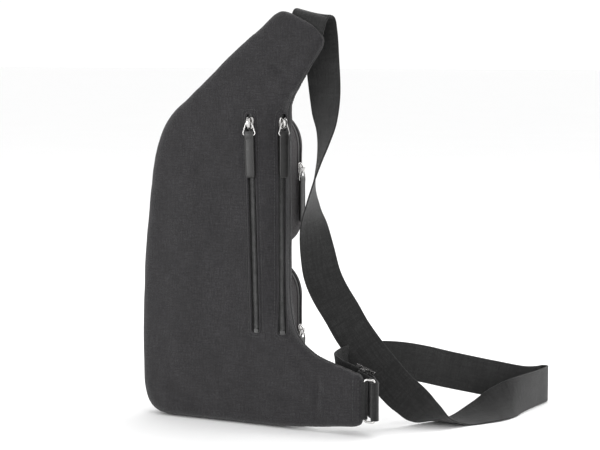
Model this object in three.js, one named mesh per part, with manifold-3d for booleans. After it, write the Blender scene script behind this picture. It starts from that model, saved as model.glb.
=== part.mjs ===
// A sling bag: a canvas shell that rolls round its right side, with a neck and a tail
// that taper flat, two long side zips, two front pockets and one webbing strap.
// Millimetres. +Z is up, the tail points to +X, and the back panel faces -Y.
import * as THREE from "three";
import { mergeVertices } from "three/addons/utils/BufferGeometryUtils.js";
import Module from "manifold-3d";

const wasm = await Module();
wasm.setup();

// ---------------------------------------------------------------- driving dimensions
const gap = 0.3; // between pieces that touch
const wall = 1.6; // canvas with its lining
const bodyWidth = 162; // left edge to the rolled right side
const shoulderHeight = 314; // floor to the top of the main compartment
const neckRise = 99; // shoulder to the top of the neck
const bodyDepth = 46; // back panel to front panel, without the pockets
const thinDepth = 10; // the neck and the tail at their ends
const tailReach = 91; // how far the tail goes past the rolled side
const rollRadius = 20; // of the right side, seen from above
const edgeRadius = 10; // of the left and bottom back edges
const frontRadius = 12; // of the front edge
const frontSeam = 32; // where the back shell meets the front panel
const webbingWidth = 38;
const webbingThickness = 1.7;
const zipSlotWidth = 10; // of the side zips
const zipSlotLength = 220;
const tapeDepth = 2.5; // from the bag's surface to a zip tape
const pocketDepth = 28;
const pocketWidth = 140;
const pullLength = 42; // of a leather tab
const wireRadius = 0.7; // of a pull's wire loop
const ringWire = 1.25; // radius of the tail ring's wire
const ringSpan = 10.4; // between the middles of the ring's two bars
const ringPlay = 0.5; // between the ring and each edge of the webbing

const tailEnd = bodyWidth + tailReach;
const rollCentreX = bodyWidth - rollRadius;
const seamMiddle = thinDepth / 2;

// ---------------------------------------------------------------- materials
function surface(color, roughness, metalness = 0) {
  return new THREE.MeshStandardMaterial({ color, roughness, metalness });
}
const finish = {
  canvas: () => surface(0x38383a, 0.9),
  lining: () => surface(0x2b2b2e, 0.85),
  foam: () => surface(0x55565a, 0.95),
  tape: () => surface(0x1e1e20, 0.85),
  coil: () => surface(0x232325, 0.45),
  leather: () => surface(0x1b1a1b, 0.45),
  metal: () => surface(0xc9cacc, 0.22, 1),
  webbing: () => surface(0x29292b, 0.85),
};

const group = new THREE.Group();
const bag = new THREE.Group(); // everything but the strap and its adjuster
const strapGroup = new THREE.Group();
group.add(bag, strapGroup);

function addPiece(name, geometry, material, parent = bag) {
  const mesh = new THREE.Mesh(geometry, material);
  mesh.name = name;
  parent.add(mesh);
  return mesh;
}

// ---------------------------------------------------------------- solids
function bareMesh(geometry) {
  const bare = geometry.clone();
  for (const name of Object.keys(bare.attributes)) {
    if (name !== "position") bare.deleteAttribute(name);
  }
  return mergeVertices(bare, 1e-4);
}

function solidOf(geometry) {
  const merged = bareMesh(geometry);
  const mesh = new wasm.Mesh({
    numProp: 3,
    vertProperties: new Float32Array(merged.attributes.position.array),
    triVerts: new Uint32Array(merged.index.array),
  });
  return new wasm.Manifold(mesh);
}

function geometryOf(solid) {
  const mesh = solid.getMesh();
  const geometry = new THREE.BufferGeometry();
  geometry.setAttribute("position", new THREE.BufferAttribute(mesh.vertProperties, 3));
  geometry.setIndex(new THREE.BufferAttribute(mesh.triVerts, 1));
  geometry.computeVertexNormals();
  return geometry;
}

function box(x0, x1, y0, y1, z0, z1) {
  const geometry = new THREE.BoxGeometry(x1 - x0, y1 - y0, z1 - z0);
  return geometry.translate((x0 + x1) / 2, (y0 + y1) / 2, (z0 + z1) / 2);
}

function cut(geometry, ...cutters) {
  let solid = solidOf(geometry);
  for (const cutter of cutters) solid = solid.subtract(solidOf(cutter));
  return geometryOf(solid);
}

function join(...geometries) {
  let solid = solidOf(geometries[0]);
  for (const geometry of geometries.slice(1)) solid = solid.add(solidOf(geometry));
  return geometryOf(solid);
}

// A solid from a closed list of points and triangles, turned so that its faces look out.
function closedSolid(points, triangles) {
  let volume = 0;
  for (const [a, b, c] of triangles) {
    volume += points[a].dot(new THREE.Vector3().crossVectors(points[b], points[c]));
  }
  const index = triangles.flatMap(([a, b, c]) => (volume > 0 ? [a, b, c] : [a, c, b]));
  const geometry = new THREE.BufferGeometry().setFromPoints(points);
  geometry.setIndex(index);
  geometry.computeVertexNormals();
  return geometry;
}

function bandBetween(startA, startB, count, triangles) {
  for (let j = 0; j < count; j++) {
    const next = (j + 1) % count;
    triangles.push([startA + j, startA + next, startB + next]);
    triangles.push([startA + j, startB + next, startB + j]);
  }
}

function capOf(ring, start, turned, triangles) {
  const flat = ring.map((p) => new THREE.Vector2(p.x, p.z));
  for (const [a, b, c] of THREE.ShapeUtils.triangulateShape(flat, [])) {
    const face = turned ? [start + a, start + c, start + b] : [start + a, start + b, start + c];
    triangles.push(face);
  }
}

// An open bowl of even thickness from rings that run from its flat cap to its rim.
// outer and inner are lists of rings with as many points each.
function bowl(outer, inner) {
  const count = outer[0].length;
  const rings = [...outer, ...inner.slice().reverse()];
  const points = rings.flat();
  const triangles = [];
  for (let k = 0; k + 1 < rings.length; k++) {
    bandBetween(k * count, (k + 1) * count, count, triangles);
  }
  capOf(outer[0], 0, false, triangles);
  capOf(inner[0], (rings.length - 1) * count, true, triangles);
  return closedSolid(points, orient(points, triangles));
}

// Caps are turned to agree with the band that they close.
function orient(points, triangles) {
  const owner = new Map();
  triangles.forEach((face, index) => {
    for (let k = 0; k < 3; k++) {
      const key = [face[k], face[(k + 1) % 3]].sort((a, b) => a - b).join();
      if (!owner.has(key)) owner.set(key, []);
      owner.get(key).push(index);
    }
  });
  const runs = (face, a, b) => face.some((v, k) => v === a && face[(k + 1) % 3] === b);
  const done = new Set([0]);
  const todo = [0];
  while (todo.length) {
    const face = triangles[todo.pop()];
    for (let k = 0; k < 3; k++) {
      const [a, b] = [face[k], face[(k + 1) % 3]];
      for (const other of owner.get([a, b].sort((p, q) => p - q).join())) {
        if (done.has(other)) continue;
        if (runs(triangles[other], a, b)) triangles[other].reverse();
        done.add(other);
        todo.push(other);
      }
    }
  }
  return triangles;
}

// The rings moved in by a distance, at right angles to the surface that they make. The cap
// faces along Y, to one side or the other, and the rim is square to it.
function offsetRings(rings, distance, side) {
  const count = rings[0].length;
  return rings.map((ring, k) =>
    ring.map((point, j) => {
      if (k === 0) return point.clone().add(new THREE.Vector3(0, -side * distance, 0));
      const atRim = k === rings.length - 1;
      const along = atRim
        ? new THREE.Vector3(0, -1, 0)
        : new THREE.Vector3().subVectors(rings[k + 1][j], rings[k - 1][j]).multiplyScalar(side);
      const round = new THREE.Vector3().subVectors(
        ring[(j + 1) % count],
        ring[(j + count - 1) % count],
      );
      const normal = new THREE.Vector3().crossVectors(along, round).normalize();
      return point.clone().addScaledVector(normal, distance);
    }),
  );
}

// ---------------------------------------------------------------- the bag's outline
// Each point, going round from the bottom left: where it is on the outline, where the
// front panel's edge pulls in to, the radius of the back edge, the height of the seam over
// the back plane, and 1 where the front slopes down to a thin end, 0 where it stands up.
const right = bodyWidth;
const shoulder = shoulderHeight;
const neckTop = shoulderHeight + neckRise;
const middle = shoulderHeight / 2;
const outlinePoints = [
  { full: [30, 0], main: [30, 0], back: edgeRadius, seam: frontSeam, slope: 0 },
  { full: [right / 2, 0], main: [right / 2, 0], back: edgeRadius, seam: frontSeam, slope: 0 },
  { full: [right - 30, 0], main: [right - 32, 0], back: edgeRadius, seam: frontSeam - 6, slope: 0.2 },
  { full: [right + 24, 3], main: [right - 14, 3], back: 6, seam: 9, slope: 0.8 },
  { full: [tailEnd - 28, 7.5], main: [right - 6, 8], back: 4, seam: seamMiddle, slope: 1 },
  { full: [tailEnd - 3, 10.5], main: [right - 2, 15], back: 4, seam: seamMiddle, slope: 1 },
  { full: [tailEnd, 15], main: [right, 22], back: 4, seam: seamMiddle, slope: 1 },
  { full: [tailEnd, 57], main: [right, 58], back: 4, seam: seamMiddle, slope: 1 },
  { full: [tailEnd - 2, 61], main: [right, 64], back: 4, seam: seamMiddle, slope: 1 },
  { full: [tailEnd - 12, 64], main: [right, 70], back: 4, seam: seamMiddle, slope: 1 },
  { full: [tailEnd - 31, 70], main: [right, 77], back: 4, seam: seamMiddle, slope: 1 },
  { full: [right + 42, 76], main: [right, 84], back: 5, seam: 6, slope: 1 },
  { full: [right + 26, 85], main: [right, 92], back: 7, seam: 9, slope: 1 },
  { full: [right + 12, 98], main: [right, 103], back: 12, seam: 17, slope: 0.7 },
  { full: [right + 3.5, 115], main: [right, 117], back: 18, seam: frontSeam - 5, slope: 0.3 },
  { full: [right, 134], main: [right, 134], back: rollRadius, seam: frontSeam, slope: 0 },
  { full: [right, middle + 43], main: [right, middle + 43], back: rollRadius, seam: frontSeam, slope: 0 },
  { full: [right, shoulder - 54], main: [right, shoulder - 58], back: rollRadius, seam: frontSeam, slope: 0 },
  { full: [right, shoulder - 12], main: [right, shoulder - 26], back: rollRadius, seam: frontSeam - 3, slope: 0.1 },
  { full: [right + 4, shoulder + 5], main: [right, shoulder - 17], back: 15, seam: 20, slope: 0.6 },
  { full: [right + 11, shoulder + 15], main: [right - 1, shoulder - 10], back: 9, seam: 13, slope: 1 },
  { full: [right + 19, shoulder + 25], main: [right - 3, shoulder - 5], back: 5, seam: 7, slope: 1 },
  { full: [right + 32, shoulder + 44], main: [right - 6, shoulder], back: 4, seam: seamMiddle, slope: 1 },
  { full: [right + 46, neckTop - 35], main: [right - 10, shoulder + 4], back: 4, seam: seamMiddle, slope: 1 },
  { full: [right + 48.5, neckTop - 28], main: [right - 14, shoulder + 6], back: 4, seam: seamMiddle, slope: 1 },
  { full: [right + 45, neckTop - 20], main: [right - 18, shoulder + 7], back: 4, seam: seamMiddle, slope: 1 },
  { full: [right + 12, neckTop - 1], main: [right - 28, shoulder + 9], back: 4, seam: seamMiddle, slope: 1 },
  { full: [right - 1, neckTop], main: [right - 34, shoulder + 9], back: 4, seam: seamMiddle, slope: 1 },
  { full: [right - 16, neckTop - 12], main: [right - 46, shoulder + 9], back: 4, seam: seamMiddle, slope: 1 },
  { full: [right - 42, neckTop - 32], main: [right - 66, shoulder + 7], back: 4, seam: 7, slope: 1 },
  { full: [80, shoulder + 34], main: [68, shoulder + 4], back: 6, seam: 14, slope: 0.7 },
  { full: [56.6, shoulder + 15], main: [50, shoulder - 2], back: 8, seam: 22, slope: 0.4 },
  { full: [36.5, shoulder - 2], main: [35, shoulder - 11], back: edgeRadius, seam: frontSeam - 3, slope: 0.2 },
  { full: [26, shoulder - 18], main: [26, shoulder - 22], back: edgeRadius, seam: frontSeam, slope: 0 },
  { full: [17, shoulder - 44], main: [17, shoulder - 46], back: edgeRadius, seam: frontSeam, slope: 0 },
  { full: [10, shoulder - 83], main: [10, shoulder - 83], back: edgeRadius, seam: frontSeam, slope: 0 },
  { full: [4, middle + 13], main: [4, middle + 13], back: edgeRadius, seam: frontSeam, slope: 0 },
  { full: [0.5, 110], main: [0.5, 110], back: edgeRadius, seam: frontSeam, slope: 0 },
  { full: [0, 60], main: [0, 60], back: edgeRadius, seam: frontSeam, slope: 0 },
  { full: [2, 24], main: [2, 24], back: edgeRadius, seam: frontSeam, slope: 0 },
  { full: [11, 7], main: [11, 7], back: edgeRadius, seam: frontSeam, slope: 0 },
];

const samplesPerPoint = 2;

// A closed smooth curve through one pair of the outline's values.
function smoothed(values) {
  const curve = new THREE.CatmullRomCurve3(values, true, "centripetal");
  const count = values.length * samplesPerPoint;
  return Array.from({ length: count }, (_, k) => curve.getPoint(k / count));
}

const fullOutline = smoothed(
  outlinePoints.map((p) => new THREE.Vector3(p.full[0], p.back, p.full[1])),
);
const mainOutline = smoothed(
  outlinePoints.map((p) => new THREE.Vector3(p.main[0], p.seam, p.main[1])),
);
const slopes = smoothed(outlinePoints.map((p) => new THREE.Vector3(p.full[0], p.slope, p.full[1])))
  .map((p) => THREE.MathUtils.clamp(p.y, 0, 1));

// The ring moved in across its own plane by a distance for each point.
function insetRing(ring, distances) {
  const count = ring.length;
  return ring.map((point, j) => {
    const ahead = ring[(j + 1) % count];
    const behind = ring[(j + count - 1) % count];
    const normal = new THREE.Vector3(behind.z - ahead.z, 0, ahead.x - behind.x).normalize();
    return point.clone().addScaledVector(normal, distances[j]);
  });
}

// How far a rounded edge has pulled in, that far from where the flat face begins.
function roundedInset(radius, fromFace) {
  const left = THREE.MathUtils.clamp(radius - fromFace, 0, radius);
  return radius - Math.sqrt(radius * radius - left * left);
}

function backRing(share) {
  const ring = fullOutline.map(
    (p, j) => new THREE.Vector3(p.x, share * mainOutline[j].y, Math.max(0, p.z)),
  );
  return insetRing(ring, fullOutline.map((p, j) => roundedInset(p.y, ring[j].y)));
}

const lip = thinDepth - seamMiddle;
const taper = 2.5; // how late the neck and tail thicken towards the body
function frontRing(share) {
  const ring = fullOutline.map((p, j) => {
    const main = mainOutline[j];
    const seam = main.y + 3 * gap;
    const rise = lip * Math.min(1, share / 0.03);
    const sloped = seam + rise + (bodyDepth - seam - rise) * share ** taper;
    const upright = seam + (bodyDepth - seam) * share;
    const y = THREE.MathUtils.lerp(upright, sloped, slopes[j]);
    const x = THREE.MathUtils.lerp(p.x, main.x, share);
    return new THREE.Vector3(x, y, Math.max(0, THREE.MathUtils.lerp(p.z, main.z, share)));
  });
  const fade = Math.min(1, share / 0.3);
  const insets = ring.map((p, j) => {
    const strength = THREE.MathUtils.lerp(1, fade, slopes[j]);
    return strength * roundedInset(frontRadius, bodyDepth - p.y);
  });
  return insetRing(ring, insets);
}

const backShares = [0, 0.06, 0.15, 0.28, 0.45, 0.65, 1];
const frontShares = [0, 0.03, 0.15, 0.3, 0.45, 0.6, 0.74, 0.86, 0.95, 1];
const backRings = backShares.map(backRing);
const frontRings = frontShares.map(frontRing).reverse();

// ---------------------------------------------------------------- surfaces that carry zips
// A frame on the bag's surface: its origin, the direction out of the bag, and up along it.
function surfaceFrame(origin, outward, up = new THREE.Vector3(0, 0, 1)) {
  const across = new THREE.Vector3().crossVectors(outward, up).normalize();
  const basis = new THREE.Matrix4().makeBasis(across, outward.clone().normalize(), up);
  return basis.setPosition(origin);
}

const zipMiddle = shoulderHeight - zipSlotLength / 2;
const rearZip = { topX: rollCentreX - 11, bottomX: rollCentreX - 5 };
const rearUp = new THREE.Vector3(rearZip.topX - rearZip.bottomX, 0, zipSlotLength).normalize();
const rearFrame = surfaceFrame(
  new THREE.Vector3((rearZip.topX + rearZip.bottomX) / 2, 0, zipMiddle),
  new THREE.Vector3(0, -1, 0),
  rearUp,
);
const mainZipAngle = THREE.MathUtils.degToRad(67); // round the roll from the back panel
const mainOutward = new THREE.Vector3(Math.sin(mainZipAngle), -Math.cos(mainZipAngle), 0);
const mainFrame = surfaceFrame(
  new THREE.Vector3(rollCentreX, rollRadius, zipMiddle).addScaledVector(mainOutward, rollRadius),
  mainOutward,
);

const halfSlot = zipSlotLength / 2;
function slotCutter(frame) {
  const reach = 14; // deep enough for the surface where it flares away
  const half = zipSlotWidth / 2;
  return box(-half, half, -4, reach, -halfSlot, halfSlot).applyMatrix4(frame);
}

// ---------------------------------------------------------------- shell, pad and divider
const mouthHalf = webbingWidth / 2 + 0.6; // the neck and tail mouths let webbing through
const mouthWall = 2; // left in front of and behind the neck's mouth
const neckMouthTilt = 0.45 * Math.atan2(19, 33); // as the strap leaves it
const neckMouth = box(-mouthHalf, mouthHalf, mouthWall, thinDepth - mouthWall, -20, 30);
neckMouth.rotateY(neckMouthTilt);
neckMouth.translate(right + 29.5, 0, neckTop - 14); // the middle of the neck's top edge
const tailMiddle = 36; // height of the tail ring's middle
const tailMouth = box(tailEnd - 8, tailEnd + 8, wall, thinDepth - wall,
  tailMiddle - mouthHalf, tailMiddle + mouthHalf);

const backShell = bowl(backRings, offsetRings(backRings, wall, -1));
const frontShell = bowl(frontRings, offsetRings(frontRings, wall, 1));
addPiece(
  "back_shell",
  cut(backShell, slotCutter(rearFrame), slotCutter(mainFrame), neckMouth, tailMouth),
  finish.canvas(),
);
addPiece("front_shell", cut(frontShell, neckMouth, tailMouth), finish.canvas());

function flatShape(points) {
  return new THREE.Shape(points.map(([x, z]) => new THREE.Vector2(x, z)));
}

// A flat sheet in the plane of the back panel.
function uprightSheet(points, near, far) {
  const geometry = new THREE.ExtrudeGeometry(flatShape(points), {
    depth: far - near,
    bevelEnabled: false,
  });
  return geometry.rotateX(Math.PI / 2).translate(0, far, 0);
}

const padNear = wall + gap;
const padThickness = 4;
const padRight = rearZip.topX - 13; // clear of the rear zip's tape
const backPad = uprightSheet(
  [[16, 16], [padRight, 16], [padRight, shoulder + 6], [62, shoulder - 8], [34, shoulder - 32],
    [24, shoulder - 60], [15, 150]],
  padNear, padNear + padThickness,
);
addPiece("back_pad", backPad, finish.foam());

// The divider bends back between the two zips, so that each opens its own compartment.
const dividerY = 14;
const dividerThickness = 1.2;
const dividerLeft = 24;
const dividerFoot = { x: rollCentreX + 3, y: 7 };
const dividerPath = flatShape([
  [dividerLeft, dividerY], [padRight, dividerY], [dividerFoot.x, dividerFoot.y],
  [dividerFoot.x, dividerFoot.y + dividerThickness],
  [padRight, dividerY + dividerThickness], [dividerLeft, dividerY + dividerThickness],
]);
const dividerBottom = 14;
const dividerHeight = shoulder - 60;
addPiece(
  "pocket_divider",
  new THREE.ExtrudeGeometry(dividerPath, { depth: dividerHeight, bevelEnabled: false })
    .translate(0, 0, dividerBottom),
  finish.lining(),
);

// ---------------------------------------------------------------- zips and their pulls
const coilHalf = 2.3;
const coilNear = -0.4;
const coilFar = -2.2;
const tapeHalf = zipSlotWidth / 2 + 2.5;

function extruded(points, depth) {
  const shape = new THREE.Shape(points.map(([x, y]) => new THREE.Vector2(x, y)));
  return new THREE.ExtrudeGeometry(shape, { depth, bevelEnabled: false });
}

// The two tapes of a side zip as one strip behind its slot, flat or bent to the roll.
function tapeStrip(bend) {
  const length = zipSlotLength + 12;
  const steps = bend ? 5 : 1;
  const row = (depth) => Array.from({ length: steps + 1 }, (_, k) => {
    const across = THREE.MathUtils.lerp(-tapeHalf, tapeHalf, k / steps);
    if (!bend) return [across, -depth];
    const angle = across / (bend - depth);
    return [(bend - depth) * Math.sin(angle), (bend - depth) * Math.cos(angle) - bend];
  });
  const section = [...row(tapeDepth), ...row(tapeDepth + 0.8).reverse()];
  return extruded(section, length).translate(0, 0, -length / 2);
}

function coilChain() {
  const end = 5; // the coil stops short of the slot's lower end, where its stop is
  return box(-coilHalf, coilHalf, coilFar, coilNear, -halfSlot + end, halfSlot - 1);
}

function bottomStop() {
  return box(-coilHalf - 0.4, coilHalf + 0.4, coilFar, coilNear + 0.5,
    -halfSlot + 0.8, -halfSlot + 4.6);
}

const pullHeight = 3.1; // of a pull's wire over the bag's surface
const pullRise = 1; // of the wire over the slider's middle
const loopWidth = 13.2;
const loopDrop = 13;

// A zip slider: a waisted plate over the coil, two side flanges and a bridge for the wire.
function sliderBody() {
  const outline = [[-4.2, 6], [4.2, 6], [4.2, 1], [3.4, -6], [-3.4, -6], [-4.2, 1]];
  const plate = extruded(outline, 1.6).rotateX(Math.PI / 2).translate(0, 1.5, 0);
  const flanges = [-1, 1].map((side) =>
    box(side * 3.4 - 0.5, side * 3.4 + 0.5, -1.9, 0, -5, 6),
  );
  const arch = extruded(
    [[-4.5, 1.2], [4.5, 1.2], [4.5, 4], [3, 5.6], [-3, 5.6], [-4.5, 4]], 3.2,
  );
  const hole = extruded([[-3, 1.5], [3, 1.5], [3, 4], [2.4, 4.5], [-2.4, 4.5], [-3, 4]], 5)
    .translate(0, 0, -0.9);
  const bridge = cut(arch, hole);
  bridge.rotateY(-Math.PI / 2).translate(1.6, 0, 0);
  return join(plate, ...flanges, bridge);
}

// A closed tube round a rounded rectangle in the XZ plane.
function wireFrame(width, height, corner, radius, sides = 6, cornerSteps = 3) {
  const path = [];
  const centres = [[1, 1], [-1, 1], [-1, -1], [1, -1]];
  centres.forEach(([sx, sz], k) => {
    for (let step = 0; step <= cornerSteps; step++) {
      const angle = (k + step / cornerSteps) * (Math.PI / 2);
      const outward = new THREE.Vector3(Math.cos(angle), 0, Math.sin(angle));
      const centre = new THREE.Vector3(sx * (width / 2 - corner), 0, sz * (height / 2 - corner));
      path.push({ place: centre.addScaledVector(outward, corner), outward });
    }
  });
  const points = path.flatMap(({ place, outward }) =>
    Array.from({ length: sides }, (_, s) => {
      const angle = ((s + 0.5) / sides) * 2 * Math.PI;
      return place.clone()
        .addScaledVector(outward, radius * Math.cos(angle))
        .add(new THREE.Vector3(0, radius * Math.sin(angle), 0));
    }),
  );
  const triangles = [];
  for (let k = 0; k < path.length; k++) {
    bandBetween(k * sides, ((k + 1) % path.length) * sides, sides, triangles);
  }
  return closedSolid(points, triangles);
}

function pullLoop() {
  return wireFrame(loopWidth, loopDrop, 1.4, wireRadius)
    .translate(0, pullHeight, pullRise - loopDrop / 2);
}

// A leather strip folded over the wire and sewn to itself.
function pullTab() {
  const bar = pullRise - loopDrop;
  const half = loopWidth / 2 - wireRadius - 0.5;
  const end = bar - pullLength;
  const outline = [[-half, bar + 2.4], [half, bar + 2.4], [half, end + 2], [half - 2, end],
    [-half + 2, end], [-half, end + 2]];
  const strip = extruded(outline, 3.2).rotateX(Math.PI / 2).translate(0, pullHeight + 1.6, 0);
  const hole = new THREE.CylinderGeometry(wireRadius + 0.4, wireRadius + 0.4, 30, 12)
    .rotateZ(Math.PI / 2).translate(0, pullHeight, bar);
  return cut(strip, hole);
}

// Slider, wire loop and leather tab of one zip, with the slider's middle at a height.
function addPull(name, frame, rise) {
  const place = frame.clone().multiply(new THREE.Matrix4().makeTranslation(0, 0, rise));
  addPiece(`${name}_slider`, sliderBody().applyMatrix4(place), finish.metal());
  addPiece(`${name}_loop`, pullLoop().applyMatrix4(place), finish.metal());
  addPiece(`${name}_tab`, pullTab().applyMatrix4(place), finish.leather());
}

function addSideZip(name, frame, bend) {
  addPiece(`${name}_tape`, tapeStrip(bend).applyMatrix4(frame), finish.tape());
  addPiece(`${name}_coil`, coilChain().applyMatrix4(frame), finish.coil());
  addPiece(`${name}_stop`, bottomStop().applyMatrix4(frame), finish.metal());
  addPull(name, frame, halfSlot - 10);
}
addSideZip("rear_zip", rearFrame, 0);
addSideZip("main_zip", mainFrame, rollRadius);

// ---------------------------------------------------------------- front pockets
const pocketWall = 1.4;
const pocketLeft = (bodyWidth - pocketWidth) / 2 + 3;
const pocketRight = pocketLeft + pocketWidth;
const pocketNear = bodyDepth + gap;
const pocketFar = bodyDepth + pocketDepth;
const faceRadius = 7;
const faceSeam = pocketFar - faceRadius;
const slotHalf = zipSlotWidth / 2;
const chainY = faceSeam - slotHalf; // the pocket zip's middle

function roundedOutline(x0, x1, z0, z1, topCorner, bottomCorner, inset) {
  const steps = 5;
  const corners = [
    [x1, z1, topCorner, 0], [x0, z1, topCorner, 1], [x0, z0, bottomCorner, 2],
    [x1, z0, bottomCorner, 3],
  ];
  return corners.flatMap(([x, z, corner, quarter]) =>
    Array.from({ length: steps + 1 }, (_, k) => {
      const angle = (quarter + k / steps) * (Math.PI / 2);
      const cx = x - Math.sign(x - (x0 + x1) / 2) * corner;
      const cz = z - Math.sign(z - (z0 + z1) / 2) * corner;
      const radius = corner - inset;
      return [cx + radius * Math.cos(angle), cz + radius * Math.sin(angle)];
    }),
  );
}

function pocketRing(pocket, y, inset) {
  const { bottom, top } = pocket;
  return roundedOutline(pocketLeft, pocketRight, bottom, top, 30, 24, inset)
    .map(([x, z]) => new THREE.Vector3(x, y, z));
}

// A band of the pocket's outline between two insets and two distances from the back.
function pocketBand(pocket, near, far, outerInset, innerInset) {
  const rings = [
    pocketRing(pocket, near, outerInset), pocketRing(pocket, far, outerInset),
    pocketRing(pocket, far, innerInset), pocketRing(pocket, near, innerInset),
  ];
  const count = rings[0].length;
  const triangles = [];
  for (let k = 0; k < 4; k++) bandBetween(k * count, ((k + 1) % 4) * count, count, triangles);
  return closedSolid(rings.flat(), triangles);
}

function below(z) {
  return box(-50, 400, -50, 150, -100, z);
}

function above(z) {
  return box(-50, 400, -50, 150, z, 600);
}

function pocketFace(pocket) {
  const shares = [0, 0.35, 0.7, 1];
  const outer = shares.map((share) => {
    const angle = share * (Math.PI / 2);
    const inset = faceRadius * (1 - Math.sin(angle));
    const y = pocketFar - faceRadius * (1 - Math.cos(angle));
    return pocketRing(pocket, y, inset);
  });
  return bowl(outer, offsetRings(outer, pocketWall, 1));
}

function addPocket(pocket) {
  const { name, zipEnd } = pocket;
  const gusset = pocketBand(pocket, pocketNear, faceSeam - gap, 0, pocketWall);
  const slot = cut(
    pocketBand(pocket, chainY - slotHalf, chainY + slotHalf, -2, pocketWall + 2),
    below(zipEnd + 6),
  );
  addPiece(`${name}_face`, pocketFace(pocket), finish.canvas());
  addPiece(`${name}_zip_band`, cut(gusset, below(zipEnd), slot), finish.canvas());
  addPiece(`${name}_gusset`, cut(gusset, above(zipEnd - gap)), finish.canvas());
  const chain = pocketBand(pocket, chainY - coilHalf, chainY + coilHalf, -coilNear, -coilFar);
  addPiece(`${name}_coil`, cut(chain, below(zipEnd + 7)), finish.coil());
  const frame = surfaceFrame(
    new THREE.Vector3(pocketRight, chainY, zipEnd + 14), new THREE.Vector3(1, 0, 0),
  );
  addPull(`${name}_zip`, frame, 0);
}
addPocket({ name: "upper_pocket", bottom: 174, top: shoulder + 2, zipEnd: 242 });
addPocket({ name: "lower_pocket", bottom: 22, top: 163, zipEnd: 76 });

// ---------------------------------------------------------------- tail ring and its loop
const ringLeft = tailEnd + ringWire + gap; // the ring's inner bar, held by the tail
const ringRight = ringLeft + ringSpan; // its outer bar, which the strap goes round
const ringHeight = webbingWidth + 2 * (ringWire + ringPlay);
const loopInner = ringWire + 0.35;
const loopOuter = loopInner + 1.3;

const ringFrame = wireFrame(ringRight - ringLeft, ringHeight, 2.5, ringWire, 8)
  .translate((ringLeft + ringRight) / 2, seamMiddle, tailMiddle);
addPiece("tail_ring", ringFrame, finish.metal());

// Webbing folded round the ring's inner bar, with its two ends sewn into the tail.
function tailLoop() {
  const arc = (radius) =>
    Array.from({ length: 9 }, (_, k) => {
      const angle = Math.PI / 2 - (k / 8) * Math.PI;
      return [ringLeft + radius * Math.cos(angle), seamMiddle + radius * Math.sin(angle)];
    });
  const end = ringLeft - 7;
  const section = [
    [end, seamMiddle + loopOuter], ...arc(loopOuter), [end, seamMiddle - loopOuter],
    [end, seamMiddle - loopInner], ...arc(loopInner).reverse(), [end, seamMiddle + loopInner],
  ];
  const width = webbingWidth - 1;
  const root = box(end - 0.6, end + 2, seamMiddle - loopOuter, seamMiddle + loopOuter, 0, width);
  return join(extruded(section, width), root).translate(0, 0, tailMiddle - width / 2);
}
addPiece("tail_loop", tailLoop(), finish.webbing());

// ---------------------------------------------------------------- strap
// The webbing's middle line from the neck to the adjuster, and at each point the direction
// of one edge, which turns over once on the way down and lies flat where it meets the floor.
const up = [0, 0, 1];
const leaning = [0.37, 0, 0.93]; // square to the strap where the adjuster sits
const strapRoute = [
  [187, 5, 382, [0.97, 0, -0.24]], [191, 5.2, 398, [0.97, 0, -0.24]],
  [193, 7.5, 408, [0.97, 0, -0.24]], [194, 13, 411.5, [0.97, 0, -0.22]],
  [195.5, 19.5, 408, [0.98, 0, -0.2]], [196.5, 23, 395, [0.99, 0, -0.15]],
  [198, 25, 368, [1, -0.05, -0.06]], [199, 28, 340, [1, -0.15, 0]],
  [198, 31, 314, [0.93, -0.36, 0]], [195, 34, 289, [0.72, -0.69, 0]],
  [189, 35.5, 265, [0.52, -0.85, 0]], [183, 36.3, 243, [0.4, -0.92, 0]],
  [181.5, 36.8, 221, [0.1, -1, 0]], [183, 37.2, 199, [-0.35, -0.94, -0.05]],
  [186, 39.6, 174, [-0.6, -0.75, -0.15]], [190.5, 42.6, 149, [-0.75, -0.55, -0.3]],
  [198, 46, 131, [-0.75, -0.45, -0.45]], [209, 47.5, 114, [-0.72, -0.38, -0.55]],
  [224, 51, 89, [-0.7, -0.35, -0.62]], [240, 55, 67.5, [-0.7, -0.35, -0.62]],
  [259, 60, 45, [-0.7, -0.35, -0.62]], [277, 66, 27.5, [-0.75, -0.25, -0.55]],
  [290, 74, 14.5, [-0.85, 0.05, -0.42]], [300, 87, 5.5, [-0.9, 0.3, -0.15]],
  [311, 107, 1.6, [-0.88, 0.47, 0]], [327, 129, 7.5, [-0.82, 0.4, 0.3]],
  [342, 153, 15.5, [-0.5, 0.25, 0.74]], [352, 186, 20, [-0.12, 0.02, 0.99]],
  [356, 222, 20, up], [357.5, 246, 20, up], [355.5, 253, 20, up], [350.5, 252.5, 20, up],
  [346.5, 244, 20, up], [338, 226, 22, up], [317, 190, 32, up], [300, 166, 39.5, up],
  [283, 143, 47, up], [268, 121, 54.5, up], [253, 99, 60.5, up], [240, 81, 63.5, up],
  [228, 64, 64, up], [219, 50, 63, up], [213.5, 38, 60.5, up], [212.5, 29, 57.5, up],
  [216.5, 24, 54.5, up], [222, 22.2, 51.3, up], [228, 22, 48.9, up], [239, 22, 44.5, up],
  [250, 22, 40.1, up], [256.5, 19.5, 38, up], [262, 14.6, 36.7, up],
  [266.2, 9.6, 36.2, up], [268.2, 6.1, 36, up], [267.6, 3.2, 36, up], [265.4, 1.8, 36, up],
  [263.2, 2.6, 36, up], [261.7, 5, 36, up], [260.2, 8.6, 36.2, up], [256.8, 12, 37.4, up],
  [252, 14, 39.3, leaning], [247, 14.9, 41.3, leaning], [242, 15, 43.3, leaning],
  [238.8, 14.9, 44.6, leaning], [236.8, 15.5, 45.4, leaning], [236, 17.3, 45.7, leaning],
  [236.8, 19.1, 45.4, leaning], [238.8, 19.7, 44.6, leaning], [243.5, 19.7, 42.7, leaning],
];

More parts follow.
